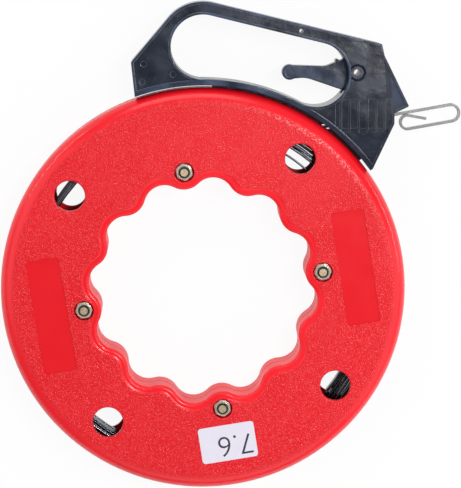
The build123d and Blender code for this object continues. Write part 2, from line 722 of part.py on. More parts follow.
def over_fin(level):
    """What lies over the slope that leaves the fold at one level."""
    along = (Vector(*FOLD_HEAD) - Vector(*FOLD_FOOT)).normalized()
    tilt = radians(FIN_SLOPE)
    upward = Vector(along.Y * sin(tilt), -along.X * sin(tilt), cos(tilt))
    size = 3 * HANDLE_DEPTH
    block = Box(2 * size, 2 * size, size, align=(Align.CENTER, Align.CENTER, Align.MIN))
    slope = Plane(origin=(*FOLD_FOOT, level), x_dir=along, z_dir=upward) * block
    return slope & lift(fin_field(), 0, HALF_DEPTH + PAST)


def inset(face, amount):
    return offset(face, amount=-amount, kind=Kind.INTERSECTION)


def neck_and_foot():
    """The neck in the case's slot and the wider foot behind its lips."""
    sector = outline([(0, 0), polar(3 * CASE_RADIUS, NECK_END), polar(3 * CASE_RADIUS, NECK_START)])
    neck = (Circle(RAIL_INNER + HANDLE_WALL) - Circle(FOOT_OUTER - FOOT_THICKNESS)) & sector
    foot = (Circle(FOOT_OUTER) - Circle(FOOT_OUTER - FOOT_THICKNESS)) & sector
    return lift(neck, 0, NECK_HALF), lift(foot, 0, FOOT_WIDTH / 2)


def flutes(top):
    """Upright flutes on the nose, standing in the panel."""
    lines = []
    for step in range(FLUTE_COUNT):
        centre = nose(FLUTE_FIRST - step * FLUTE_PITCH, (FLUTE_TOP + FLUTE_FOOT) / 2)
        plan = bar(centre, FLUTE_WIDTH, FLUTE_TOP - FLUTE_FOOT)
        lines.append(lift(plan, top - PANEL_DEPTH - PANEL_STEP_DEPTH, top))
    return lines


def panel_under(height):
    """The part of the fluted panel under one height, left open below."""
    left, _ = nose(FLUTE_FIRST - (FLUTE_COUNT - 0.4) * FLUTE_PITCH, 0)
    right, top = nose(CHIN_RUN - FACE_LINE, height)
    return Pos((left + right) / 2, top - CASE_RADIUS / 2) * Rectangle(right - left, CASE_RADIUS)


def inner_posts():
    """Bosses and ledges inside the handle: for the screws, the lanyard hole, the pivot and the brake."""
    screw = SCREW_HEAD_RADIUS + SCREW_CLEARANCE + BOSS_WALL
    posts = [lift(disc(place, screw), 0, INNER_DEPTH + ROOT) for place in SCREW_PLACES]
    posts.append(lift(disc(lanyard_place(), LANYARD_RADIUS + BOSS_WALL), 0, HALF_DEPTH - FACE_POCKET))
    pivot = disc(PIVOT, RIVET_FLANGE_RADIUS + BOSS_WALL)
    posts.append(lift(pivot, TRIGGER_THICKNESS / 2 + TRIGGER_SIDE_GAP, INNER_DEPTH + ROOT))
    return posts + brake_ledges()


def brake_ledges():
    """Ledges that the brake's stem slides between, and the bed under the tape's channel."""
    reach = BRAKE_LENGTH / 2 + LEDGE_REACH
    slot = BRAKE_STEM / 2 + BRAKE_SIDE_GAP
    depth = INNER_DEPTH + ROOT
    foot = LEDGE_TOP - LEDGE_THICKNESS
    ledge = tape_block(BRAKE_RUN - reach, BRAKE_RUN + reach, foot, LEDGE_TOP, depth, 0)
    ledge -= tape_block(BRAKE_RUN - slot, BRAKE_RUN + slot, foot - PAST, LEDGE_TOP + PAST, slot, -PAST)
    bed_start = -GUIDE_LENGTH - GUIDE_BED_REACH
    return [ledge, tape_block(bed_start, 0, GUIDE_BOTTOM - GUIDE_BED, GUIDE_BOTTOM, depth, 0)]


def handle_shell():
    """Walls and face of half the handle, with the pocket and the fluted panel in its face."""
    plan, opening = handle_plan(), opening_plan()
    mass = lift(plan, 0, HALF_DEPTH) - lift(opening, -PAST, HALF_DEPTH + PAST)
    mass = fillet(mass.edges().filter_by_position(Axis.Z, HALF_DEPTH, HALF_DEPTH), FACE_EDGE_ROUND)
    mass -= over_fin(HALF_DEPTH)
    pocket = inset(plan, FACE_LINE) - opening_plan(FACE_LINE) - Circle(RAIL_INNER + BAND_WIDTH)
    panel, step = pocket & panel_under(FLUTE_TOP), pocket & panel_under(FLUTE_STEP)
    room = lift(inset(plan, HANDLE_WALL), -PAST, INNER_DEPTH) - over_fin(INNER_DEPTH)
    room -= lift(opening_plan(HANDLE_WALL), -2 * PAST, HALF_DEPTH)
    room -= lift(panel, INNER_DEPTH - PANEL_DEPTH - PANEL_STEP_DEPTH, HALF_DEPTH)
    face = HALF_DEPTH - FACE_POCKET
    cuts = [lift(pocket - fin_field(), face, HALF_DEPTH + PAST)]
    cuts.append(over_fin(face) & lift(pocket, 0, HALF_DEPTH + PAST))
    cuts.append(lift(panel, face - PANEL_DEPTH, HALF_DEPTH))
    cuts.append(lift(step, face - PANEL_DEPTH - PANEL_STEP_DEPTH, HALF_DEPTH))
    shell = mass - room
    for cut in cuts:
        shell -= cut
    return shell.fuse(*[flute & mass for flute in flutes(face)]), mass


def handle_half():
    """Front half of the handle, from the mating plane at height 0 up to its face."""
    shell, mass = handle_shell()
    half = shell.fuse(*[post & mass for post in inner_posts()], *neck_and_foot())
    face = HALF_DEPTH - FACE_POCKET
    half -= lift(disc(PIVOT, RIVET_RADIUS + RIVET_CLEARANCE), -PAST, HALF_DEPTH)
    dish = Cone(RIVET_FLANGE_RADIUS + RIVET_CLEARANCE, RIVET_DISH_RADIUS, RIVET_SINK)
    half -= Pos(*PIVOT, face - RIVET_SINK / 2) * dish
    half -= lift(disc(lanyard_place(), LANYARD_RADIUS), -PAST, HALF_DEPTH + PAST)
    for place in MARK_PLACES:
        half -= lift(disc(place, MARK_RADIUS), face - MARK_DEPTH, HALF_DEPTH)
    return half - trigger_slot() - tape_way()


def lanyard_place():
    return beside_bar(LANYARD_REACH, OPENING_RADIUS + BAR_THICKNESS / 2)


def trigger_slot():
    """Room for the trigger to pass through the wall of the grip opening."""
    left_side = Pos(PIVOT[0] - TRIGGER_REACH, PIVOT[1]) * Rectangle(2 * TRIGGER_REACH, 4 * TRIGGER_REACH)
    return lift(disc(PIVOT, TRIGGER_REACH) & left_side, -PAST, TRIGGER_THICKNESS / 2 + TRIGGER_SIDE_GAP)


def tape_way():
    """Channel for the tape through the foot and the underside, and the mouth at the nose."""
    clear = TAPE_THICKNESS + 2 * CHANNEL_CLEARANCE
    top = TAPE_HALF + CHANNEL_CLEARANCE
    plan = feed_plan(clear, FEED_START, STRAIGHT_RUN - GUIDE_LENGTH + PAST)
    way = lift(plan, -PAST, TAPE_WIDTH / 2 + GUIDE_CLEARANCE)
    seat = tape_block(-GUIDE_LENGTH, MOUTH_OVERRUN, GUIDE_BOTTOM, top, GUIDE_HALF + GUIDE_CLEARANCE, -PAST)
    reach = BRAKE_LENGTH / 2 + BRAKE_SIDE_GAP
    room_top, room_half = BLOCK_TOP + BRAKE_SIDE_GAP, BRAKE_WIDTH / 2 + BRAKE_SIDE_GAP
    brake_room = tape_block(BRAKE_RUN - reach, BRAKE_RUN + reach, 0, room_top, room_half, -PAST)
    return way + seat + brake_room


def handle_front():
    half = handle_half()
    tip = SCREW_SINK + SCREW_LENGTH - HALF_DEPTH
    for place in SCREW_PLACES:
        half -= lift(disc(place, SCREW_RADIUS + SCREW_CLEARANCE), -PAST, tip + SCREW_TIP_GAP)
    return Pos(0, 0, MID) * half


def handle_rear():
    half = mirror(handle_half(), about=Plane.XY)
    back, seat = -HALF_DEPTH - PAST, SCREW_SINK - HALF_DEPTH
    for place in SCREW_PLACES:
        half -= lift(disc(place, SCREW_RADIUS + SCREW_CLEARANCE), back, PAST)
        half -= lift(disc(place, SCREW_HEAD_RADIUS + SCREW_CLEARANCE), back, seat)
    return Pos(0, 0, MID) * half


def handle_screws():
    """Pan-head screws with a cross recess, their heads seated in the rear half."""
    head = Cylinder(SCREW_HEAD_RADIUS, SCREW_HEAD_HEIGHT, align=(Align.CENTER, Align.CENTER, Align.MAX))
    head = fillet(head.edges().sort_by(Axis.Z)[0], SCREW_HEAD_ROUND)
    cross = Rectangle(CROSS_LENGTH, CROSS_WIDTH) + Rectangle(CROSS_WIDTH, CROSS_LENGTH)
    head -= lift(cross, -SCREW_HEAD_HEIGHT - PAST, CROSS_DEPTH - SCREW_HEAD_HEIGHT)
    shank = Cylinder(SCREW_RADIUS, SCREW_LENGTH, align=(Align.CENTER, Align.CENTER, Align.MIN))
    screw = head + chamfer(shank.edges().sort_by(Axis.Z)[-1], SCREW_END_CHAMFER)
    seat = MID - HALF_DEPTH + SCREW_SINK
    return Compound(children=[Pos(*place, seat) * screw for place in SCREW_PLACES])


# ---------------------------------------------------------------- trigger and brake

def blade_plan():
    """The lever's blade, from its round tip to its flared root at the hub."""
    hub, neck = TRIGGER_HUB_RADIUS, (-TRIGGER_NECK_RUN, TRIGGER_NECK_TOP)
    ear, heel = (-TRIGGER_EAR_RUN, TRIGGER_EAR_TOP), (-TRIGGER_HEEL_RUN, -TRIGGER_HEEL_FOOT)
    belly = (-TRIGGER_BELLY_RUN, -TRIGGER_BELLY_FOOT)
    tip_top, tip_foot = (-TRIGGER_LENGTH, TRIGGER_TIP_TOP), (-TRIGGER_LENGTH, -TRIGGER_TIP_FOOT)
    blade = outline([tip_top, neck, ear, (0, hub), (0, -hub), heel, belly, tip_foot])
    blade = rounded(blade, neck, TRIGGER_NECK_ROUND)
    blade = rounded(blade, belly, TRIGGER_BELLY_ROUND)
    for corner in (ear, heel):
        blade = rounded(blade, corner, TRIGGER_CORNER_ROUND)
    return blade + disc((-TRIGGER_LENGTH, 0), TRIGGER_TIP_RADIUS)


def cam_plan():
    """The arm from the hub to the round cam over the brake's head."""
    cam_x, cam_y = polar(CAM_REACH, TAPE_RISE)
    drop_x, drop_y = polar(CAM_DROP, TAPE_RISE - 90)
    cam = (cam_x + drop_x, cam_y + drop_y)
    reach, bearing = hypot(*cam), degrees(atan2(cam[1], cam[0]))
    square = 90 - degrees(atan2(TRIGGER_HUB_RADIUS - CAM_RADIUS, reach))
    arm = [polar(TRIGGER_HUB_RADIUS, bearing + square), polar(TRIGGER_HUB_RADIUS, bearing - square)]
    for side in (-1, 1):
        x, y = polar(CAM_RADIUS, bearing + side * square)
        arm.append((cam[0] + x, cam[1] + y))
    return outline(arm) + disc(cam, CAM_RADIUS)


def trigger():
    """Lever, hub and cam in one moulding, the blade's edges rounded and a round mark at its tip."""
    half = TRIGGER_THICKNESS / 2
    body = lift(blade_plan(), -half, half)
    for face in (-half, half):
        body = fillet(body.edges().filter_by_position(Axis.Z, face, face), TRIGGER_EDGE_ROUND)
    nub = disc((-TRIGGER_NUB_RUN, TRIGGER_NUB_TOP), TRIGGER_NUB_RADIUS)
    body += lift(Circle(TRIGGER_HUB_RADIUS) + cam_plan() + nub, -half, half)
    mark = disc((-TRIGGER_LENGTH, 0), TRIGGER_MARK_RADIUS)
    body -= lift(mark, half - TRIGGER_MARK_DEPTH, half + PAST)
    body -= lift(Circle(RIVET_RADIUS + RIVET_CLEARANCE), -TRIGGER_THICKNESS, TRIGGER_THICKNESS)
    return Pos(*PIVOT, MID) * body


def trigger_pivot():
    """Hollow rivet through both handle halves, flanged at each end."""
    reach = HALF_DEPTH - FACE_POCKET - RIVET_SINK
    tube = lift(Circle(RIVET_RADIUS), -reach, reach)
    flange = lift(Circle(RIVET_FLANGE_RADIUS), reach, reach + RIVET_FLANGE_HEIGHT)
    flange = fillet(flange.edges().sort_by(Axis.Z)[-1], RIVET_FLANGE_ROUND)
    body = tube + flange + mirror(flange, about=Plane.XY)
    body -= lift(Circle(RIVET_BORE_RADIUS), -HALF_DEPTH, HALF_DEPTH)
    return Pos(*PIVOT, MID) * body


def brake_shoe():
    """Plunger: block over the tape, stem between the ledges and head under the cam."""
    half = BRAKE_LENGTH / 2
    stem = BRAKE_STEM / 2
    head = BRAKE_HEAD_LENGTH / 2
    body = tape_block(BRAKE_RUN - half, BRAKE_RUN + half, BLOCK_BOTTOM, BLOCK_TOP, BRAKE_WIDTH / 2)
    body += tape_block(BRAKE_RUN - stem, BRAKE_RUN + stem, BLOCK_TOP, HEAD_TOP, stem)
    head_foot = HEAD_TOP - BRAKE_HEAD_HEIGHT
    body += tape_block(BRAKE_RUN - head, BRAKE_RUN + head, head_foot, HEAD_TOP, BRAKE_HEAD_WIDTH / 2)
    return Pos(0, 0, MID) * body


def brake_pad():
    half = BRAKE_LENGTH / 2
    pad = tape_block(BRAKE_RUN - half, BRAKE_RUN + half, PAD_BOTTOM, BLOCK_BOTTOM, PAD_WIDTH / 2)
    return Pos(0, 0, MID) * pad


def brake_spring():
    """Bowed leaf that stands on the ledges and lifts the shoe's head."""
    rise = HEAD_TOP - BRAKE_HEAD_HEIGHT - LEDGE_TOP - SPRING_THICKNESS - 2 * SPRING_GAP
    half = SPRING_LENGTH / 2
    bend = (half ** 2 + rise ** 2) / (2 * rise)
    sweep = 2 * degrees(atan2(half, bend - rise))
    start = along_tape(BRAKE_RUN - half, LEDGE_TOP + SPRING_THICKNESS / 2 + SPRING_GAP)
    plan = bent_strip(start, TAPE_RISE + sweep / 2, [(bend, -sweep)], SPRING_THICKNESS)
    body = lift(plan, -SPRING_WIDTH / 2, SPRING_WIDTH / 2)
    below = LEDGE_TOP - LEDGE_THICKNESS
    body -= tape_block(BRAKE_RUN - half - PAST, BRAKE_RUN + half + PAST, below, LEDGE_TOP, SPRING_WIDTH)
    slot = BRAKE_STEM / 2 + BRAKE_SIDE_GAP
    body -= tape_block(BRAKE_RUN - slot, BRAKE_RUN + slot, LEDGE_TOP + PAST, HEAD_TOP, slot)
    return Pos(0, 0, MID) * body


def tape_guide():
    """Channel under the last stretch of the tape, open above for the brake."""
    top, inner = TAPE_HALF - GUIDE_TOP_DROP, TAPE_WIDTH / 2 + GUIDE_CLEARANCE
    body = tape_block(-GUIDE_LENGTH, -GUIDE_SETBACK, GUIDE_BOTTOM, top, GUIDE_HALF)
    body -= tape_block(-GUIDE_LENGTH - PAST, PAST, GUIDE_TOP, top + PAST, inner)
    return Pos(0, 0, MID) * body


PIECES = {
    "case_front": case_front,
    "case_back": case_back,
    "case_bolts": lambda: round_the_hub(bolt(), HEAD_RECESS_DEPTH),
    "case_nuts": lambda: round_the_hub(nut(), CASE_THICKNESS - NUT_RECESS_DEPTH),
    "nut_inserts": lambda: round_the_hub(insert(), CASE_THICKNESS - NUT_RECESS_DEPTH),
    "length_label": length_label,
    "tape_coil": tape_coil,
    "tape_anchor": tape_anchor,
    "tape_feed": tape_feed,
    "tape_end": tape_end,
    "tape_guide": tape_guide,
    "handle_front": handle_front,
    "handle_rear": handle_rear,
    "handle_screws": handle_screws,
    "trigger": trigger,
    "trigger_pivot": trigger_pivot,
    "brake_shoe": brake_shoe,
    "brake_pad": brake_pad,
    "brake_spring": brake_spring,
}

os.makedirs("parts", exist_ok=True)
for name, make in PIECES.items():
    export_step(make(), f"parts/{name}.step")
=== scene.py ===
import json
import math

import bmesh
import bpy
from mathutils import Matrix, Vector


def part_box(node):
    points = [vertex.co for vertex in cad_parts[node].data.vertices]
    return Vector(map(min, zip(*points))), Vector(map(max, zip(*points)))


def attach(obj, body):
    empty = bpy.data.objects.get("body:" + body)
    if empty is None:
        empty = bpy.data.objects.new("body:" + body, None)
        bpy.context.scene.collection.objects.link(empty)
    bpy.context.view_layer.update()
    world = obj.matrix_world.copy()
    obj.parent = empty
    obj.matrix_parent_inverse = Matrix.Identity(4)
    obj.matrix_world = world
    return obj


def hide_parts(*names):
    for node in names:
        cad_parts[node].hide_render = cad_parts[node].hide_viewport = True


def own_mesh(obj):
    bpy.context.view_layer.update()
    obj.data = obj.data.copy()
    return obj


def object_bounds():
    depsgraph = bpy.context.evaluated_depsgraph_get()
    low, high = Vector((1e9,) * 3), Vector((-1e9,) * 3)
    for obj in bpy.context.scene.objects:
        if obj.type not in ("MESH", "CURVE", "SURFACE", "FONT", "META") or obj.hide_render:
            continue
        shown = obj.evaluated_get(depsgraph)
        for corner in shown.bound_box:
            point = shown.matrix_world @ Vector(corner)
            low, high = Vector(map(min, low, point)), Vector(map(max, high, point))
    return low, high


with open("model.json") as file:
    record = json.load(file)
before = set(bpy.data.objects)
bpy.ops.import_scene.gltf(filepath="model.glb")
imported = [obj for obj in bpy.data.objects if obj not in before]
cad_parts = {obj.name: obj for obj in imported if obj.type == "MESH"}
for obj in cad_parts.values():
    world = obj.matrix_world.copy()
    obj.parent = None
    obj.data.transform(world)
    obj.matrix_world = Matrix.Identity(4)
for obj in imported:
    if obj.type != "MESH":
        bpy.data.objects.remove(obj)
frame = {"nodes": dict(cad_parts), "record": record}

bl_info = {
    "name": "Fish tape reel finishes",
    "version": (1, 0, 0),
    "blender": (4, 5, 0),
    "location": "3D View > Sidebar > Reel",
    "description": "Dresses the packed fish tape reel: moulded plastics, steel tape, hardware, "
                   "sticker and stage",
    "category": "Object",
}

CAD_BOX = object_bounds()
MM = 0.001


def corners_mm(node):
    """Lowest and highest corner of a CAD node, in millimetres."""
    low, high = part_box(node)
    return Vector(low) / MM, Vector(high) / MM


# Places on the reel, in millimetres. The case turns about the Z axis.
CASE_LOW, CASE_HIGH = corners_mm("case_back")[0], corners_mm("case_front")[1]
CASE_RADIUS = (CASE_HIGH.x - CASE_LOW.x) / 2
CASE_MIDDLE = (CASE_LOW.z + CASE_HIGH.z) / 2
FACE_HEIGHT = (CASE_HIGH.z - CASE_LOW.z) / 2
CASE_TURN = math.radians(9.0)
BOLT_COUNT = 4
INSERT_RADIUS = 3.2
BOLT_CIRCLE = (corners_mm("nut_inserts")[1].x - INSERT_RADIUS) / math.cos(CASE_TURN)
POCKET_RADIUS = 6.2
POCKET_DEPTH = 5.5
HANDLE_TOP = corners_mm("handle_front")[1].z


# ---------------------------------------------------------------- node trees

class Signal:
    """A value in a node tree. Arithmetic on it adds Math nodes."""

    def __init__(self, nodes, socket):
        self.nodes = nodes
        self.socket = socket

    def math(self, operation, *operands):
        """A Math node on these values."""
        inputs = dict(enumerate(operands))
        return self.nodes.node("ShaderNodeMath", {"operation": operation}, inputs)

    def __add__(self, other):
        return self.math("ADD", self, other)

    def __radd__(self, other):
        return self.math("ADD", other, self)

    def __sub__(self, other):
        return self.math("SUBTRACT", self, other)

    def __rsub__(self, other):
        return self.math("SUBTRACT", other, self)

    def __mul__(self, other):
        return self.math("MULTIPLY", self, other)

    def __rmul__(self, other):
        return self.math("MULTIPLY", other, self)

    def __truediv__(self, other):
        return self.math("DIVIDE", self, other)

    def __rtruediv__(self, other):
        return self.math("DIVIDE", other, self)

    def __abs__(self):
        return self.math("ABSOLUTE", self)

    def cos(self):
        return self.math("COSINE", self)

    def angle_to(self, run):
        """Bearing of the point whose height is this value and whose run is the other."""
        return self.math("ARCTAN2", self, run)

    def hypot(self, other):
        return self.math("SQRT", self * self + other * other)

    def at_most(self, other):
        return self.math("MINIMUM", self, other)

    def at_least(self, other):
        return self.math("MAXIMUM", self, other)

    def mapped(self, settings, low, high, start, end):
        """This value with its range from low to high turned into start to end."""
        inputs = {"Value": self, "From Min": low, "From Max": high, "To Min": start, "To Max": end}
        return self.nodes.node("ShaderNodeMapRange", settings, inputs)

    def rise(self, low, high, start=0.0, end=1.0):
        """A smooth step from start to end while this value goes from low to high."""
        return self.mapped({"interpolation_type": "SMOOTHSTEP"}, low, high, start, end)

    def between(self, low, high, start, end):
        """A straight ramp from start to end, held at both ends."""
        return self.mapped({"clamp": True}, low, high, start, end)


class Nodes:
    """A node tree under construction."""

    def __init__(self, tree):
        self.tree = tree

    def node(self, kind, settings=None, inputs=None, output=0):
        """Add a node, set its settings first and its sockets next, and return an output."""
        made = self.tree.nodes.new(kind)
        for name, value in (settings or {}).items():
            setattr(made, name, value)
        for name, value in (inputs or {}).items():
            if isinstance(value, Signal):
                self.tree.links.new(value.socket, made.inputs[name])
            else:
                made.inputs[name].default_value = value
        return Signal(self, made.outputs[output])

    def end(self, kind, result, socket):
        """Add the tree's output node and lead a result into one of its sockets."""
        made = self.tree.nodes.new(kind)
        self.tree.links.new(result.socket, made.inputs[socket])

    def axes(self, vector):
        """The three coordinates of a vector."""
        split = self.node("ShaderNodeSeparateXYZ", None, {0: vector}).socket.node
        return [Signal(self, output) for output in split.outputs]

    def vector(self, x, y, z):
        """A vector made of three values."""
        return self.node("ShaderNodeCombineXYZ", None, {0: x, 1: y, 2: z})


def add_object(name, data):
    """Put an object with this data in the scene, at the origin."""
    added = bpy.data.objects.new(name, data)
    bpy.context.scene.collection.objects.link(added)
    return added


def coat(mesh, material):
    """Give a mesh one material all over."""
    mesh.materials.clear()
    mesh.materials.append(material)


class Shaping(Nodes):
    """A geometry tree that turns a plain mesh into a finished piece."""

    def __init__(self, name, sizes):
        super().__init__(bpy.data.node_groups.new(name, "GeometryNodeTree"))
        self.values = sizes
        sockets = self.tree.interface
        for way in ("INPUT", "OUTPUT"):
            sockets.new_socket("Geometry", in_out=way, socket_type="NodeSocketGeometry")
        for label, value in sizes.items():
            kind = "NodeSocketInt" if isinstance(value, int) else "NodeSocketFloat"
            sockets.new_socket(label, in_out="INPUT", socket_type=kind).default_value = value
        entry = self.tree.nodes.new("NodeGroupInput")
        self.inputs = {output.name: Signal(self, output) for output in entry.outputs if output.name}

    def rounded_bar(self, width, height, rounding, facets):
        """Outline of a bar with rounded corners, to sweep along a curve."""
        outline = self.node("GeometryNodeCurvePrimitiveQuadrilateral", {"mode": "RECTANGLE"}, {
            "Width": width, "Height": height})
        return self.node("GeometryNodeFilletCurve", {"mode": "POLY"}, {
            "Curve": outline, "Count": facets, "Radius": rounding})

    def grow(self, name, mesh, geometry, material):
        """End the tree, run it on a mesh and return the result as a plain object."""
        real = self.node("GeometryNodeRealizeInstances", None, {0: geometry})
        coated = self.node("GeometryNodeSetMaterial", None, {0: real, "Material": material})
        self.end("NodeGroupOutput", coated, 0)
        piece = add_object(name, mesh)
        modifier = piece.modifiers.new(name, "NODES")
        modifier.node_group = self.tree
        for socket in self.tree.interface.items_tree:
            if socket.name in self.values:
                modifier[socket.identifier] = self.values[socket.name]
        depsgraph = bpy.context.evaluated_depsgraph_get()
        grown = bpy.data.meshes.new_from_object(piece.evaluated_get(depsgraph))
        piece.modifiers.remove(modifier)
        piece.data = grown
        return piece


# Sockets of the Mix node in its colour mode, where the names repeat.
MIX_SHARE, MIX_FIRST, MIX_SECOND, MIX_RESULT = 0, 6, 7, 2

EDGE_SAMPLES = 6
EDGE_LIKENESS = (0.86, 0.985)


class Finish(Nodes):
    """A material under construction. Patterns read object coordinates in millimetres."""

    def __init__(self, name):
        self.material = bpy.data.materials.new(name)
        self.material.use_nodes = True
        super().__init__(self.material.node_tree)
        self.tree.nodes.clear()
        place = self.node("ShaderNodeTexCoord", output="Object")
        self.place = self.node("ShaderNodeVectorMath", {"operation": "SCALE"}, {
            0: place, "Scale": 1 / MM})

    def stretched(self, x, y, z):
        """The place scaled along each axis, for patterns drawn out in one direction."""
        return self.node("ShaderNodeVectorMath", {"operation": "MULTIPLY"}, {
            0: self.place, 1: (x, y, z)})

    def noise(self, size, detail=3.0, roughness=0.5, place=None, output=0):
        """Soft noise from 0 to 1, whose features are about the given size in millimetres."""
        return self.node("ShaderNodeTexNoise", None, {
            "Vector": place or self.place, "Scale": 1 / size, "Detail": detail,
            "Roughness": roughness}, output)

    def pebbles(self, size, place, smoothness):
        """Distance from the middle of the nearest pebble, in pebbles of the given size."""
        return self.node("ShaderNodeTexVoronoi", {"feature": "SMOOTH_F1"}, {
            "Vector": place, "Scale": 1 / size, "Smoothness": smoothness})

    def mix(self, share, first, second):
        """One colour turned into another by a share from 0 to 1."""
        first, second = (c if isinstance(c, Signal) else (*c, 1.0) for c in (first, second))
        return self.node("ShaderNodeMix", {"data_type": "RGBA"}, {
            MIX_SHARE: share, MIX_FIRST: first, MIX_SECOND: second}, MIX_RESULT)

    def bump(self, height, depth, normal=None):
        """A bump whose height of 1 stands the given depth in millimetres."""
        inputs = {"Height": height, "Distance": depth * MM, "Strength": 1.0}
        if normal:
            inputs["Normal"] = normal
        return self.node("ShaderNodeBump", None, inputs)

    def edges(self, radius):
        """Normal with its edges rounded by a radius in millimetres, and a mask of those edges."""
        rounded = self.node("ShaderNodeBevel", {"samples": EDGE_SAMPLES}, {"Radius": radius * MM})
        flat = self.node("ShaderNodeNewGeometry", output="Normal")
        likeness = self.node("ShaderNodeVectorMath", {"operation": "DOT_PRODUCT"}, {
            0: rounded, 1: flat}, output="Value")
        return rounded, likeness.rise(*EDGE_LIKENESS, 1.0, 0.0)

    def close(self, **sockets):
        """End the tree in a Principled shader with these sockets."""
        inputs = {name.replace("_", " "): value for name, value in sockets.items()}
        return self.cover(self.node("ShaderNodeBsdfPrincipled", None, inputs))

    def cover(self, shader):
        """End the tree in a shader."""
        self.end("ShaderNodeOutputMaterial", shader, "Surface")
        return self.material


# ---------------------------------------------------------------- settings

def colour(name, default, description):
    """A colour without its alpha."""
    return bpy.props.FloatVectorProperty(name=name, description=description, default=default,
                                         size=3, min=0.0, max=1.0, subtype="COLOR")


def length(name, default, description):
    """A length in millimetres."""
    return bpy.props.FloatProperty(name=name, description=description + ", in millimetres",
                                   default=default, min=0.0, soft_max=10 * default)


def power(name, default, description):
    """The power of a lamp, in watts."""
    return bpy.props.FloatProperty(name=name, description=description, default=default,
                                   unit="POWER")


class ReelColours(bpy.types.PropertyGroup):
    """Colours of the reel's materials."""

    case: colour("Case", (0.90, 0.006, 0.015), "Moulded plastic of the case")
    handle: colour("Handle", (0.005, 0.009, 0.022),
                   "Moulded plastic of the handle and the trigger")
    # Lighter tone of the cloudy patches towards the handle's nose.
    handle_patch_tone: colour("Handle rubbed", (0.038, 0.062, 0.125),
                          "Handle where hands and dust have dulled it")
    # Tone of the scratches, and of the handle's edges as wear and painted highlight.
    handle_scratch_and_edge_highlight: colour("Handle edge", (0.15, 0.17, 0.21), "Rubbed edges of the handle")
    sticker: colour("Sticker", (0.74, 0.70, 0.79), "Film of the length sticker")
    ink: colour("Ink", (0.012, 0.016, 0.03), "Print on the sticker")
    tape: colour("Tape", (0.065, 0.065, 0.080), "Blued spring steel of the tape")
    # Worn bright steel on the tape's edges, which also serves as painted highlight.
    tape_edge_wear_and_highlight: colour("Tape edge", (0.85, 0.85, 0.88), "Bright edge of the tape, where it rubs")
    hook: colour("Hook", (0.21, 0.21, 0.215),
                 "Tape steel where it is ground and bent to the hook")
    zinc: colour("Zinc", (0.92, 0.86, 0.72), "Plating of the nuts")
    brass: colour("Passivate", (0.80, 0.62, 0.40), "Yellow plating of the bolts")


class ReelSizes(bpy.types.PropertyGroup):
    """Sizes of the grain, the nuts' pockets, the winding and the print."""

    grain: length("Grain", 0.75, "Cell size of the leather grain on the case")
    grain_depth: length("Grain depth", 0.16, "Height of the leather grain")
    lip: length("Hub lip", 3.9, "Width of the smooth lip round the hub")
    pocket: length("Pocket", 4.95, "Radius of the pocket round each nut")
    rim: length("Rim", 5.8, "Width of the smooth rim outside the grain")
    strand: length("Strand", 1.0, "Thickness of the wound tape")
    band_radius: length("Band radius", 83.7, "Mean radius of the winding's inner edge")
    band_width: length("Band width", 6.2, "Mean width of the winding, across its turns")
    lean: length("Lean", 2.24, "How far the winding lies to one side of the case")
    oval: length("Oval", 0.98, "How far the winding is drawn out along its long axis")
    fan: length("Fan", 2.9, "How much wider the winding is on its loose side")
    outer_limit: length("Outer limit", 89.7, "Radius that the winding stays inside")
    wander: length("Wander", 1.1, "How far a turn strays from its circle")
    lead_drop: length("Lead drop", 3.3,
                      "How far the inner end of the tape leaves the winding")
    numeral: length("Numeral", 15.5, "Size of the numerals on the sticker")
    numeral_thinning: length("Numeral thinning", 0.42,
                             "How much thinner the strokes are than the type's own")


class ReelStage(bpy.types.PropertyGroup):
    """Camera and light."""

    camera_place: bpy.props.FloatVectorProperty(
        name="Camera place", description="Where the camera stands over the reel", subtype="XYZ",
        unit="LENGTH", default=(-0.0169, 0.1734, 1.1155))
    camera_turn: bpy.props.FloatVectorProperty(
        name="Camera turn", description="Tilt of the camera from straight down",
        subtype="EULER", default=(math.radians(-7.8), math.radians(-1.6), 0.0))
    lens: bpy.props.FloatProperty(name="Lens", description="Focal length", default=162.3,
                                  unit="CAMERA")
    room: bpy.props.FloatProperty(name="Room", description="Strength of the room's even light",
                                  default=0.30)
    key: power("Key", 6.6, "Power of the main softbox")
    strip: power("Strip", 1.6, "Power of each low strip light")
    fill: power("Fill", 4.0, "Power of each side softbox")


# ---------------------------------------------------------------- case

# The hub's wavy wall.
HUB_WAVES = 12
HUB_MEAN_RADIUS = 54.8
HUB_WAVE_HEIGHT = 2.8

# Depths below the face between which the grain begins.
FACE_EDGE = (0.95, 0.6)
# Half the width of the step at the edge of the hub's lip, of the rim and of a plate.
LIP_STEP = 0.5
RIM_STEP = 1.2
PLATE_STEP = 0.2
# The plates lie sunk in the face, inside the rim. Only their floors are smooth.
PLATE_DEPTH = 0.5
PLATE_MARGIN = 8.7
# The dark line where the halves meet in the hub.
SEAM_WIDTH = 0.5
# Distances past the hub's wall over which its duller finish ends.
HUB_EDGE = (0.2, 2.0)

# Distance from a pebble's middle, in pebbles, over which the grain falls off.
PEBBLE_EDGE = (0.08, 0.62)
PEBBLE_SMOOTHNESS = 0.35
PEBBLE_SHIFT = (0.5, 0.5, 0.5)

COLLAR_FACETS = 64
COLLAR_ROUNDING = 0.12

CASE_ROUGHNESS = 0.19
CASE_IOR = 1.46


def shaded(tone, share):
    """A colour with each of its parts multiplied."""
    return tuple(share * part for part in tone)


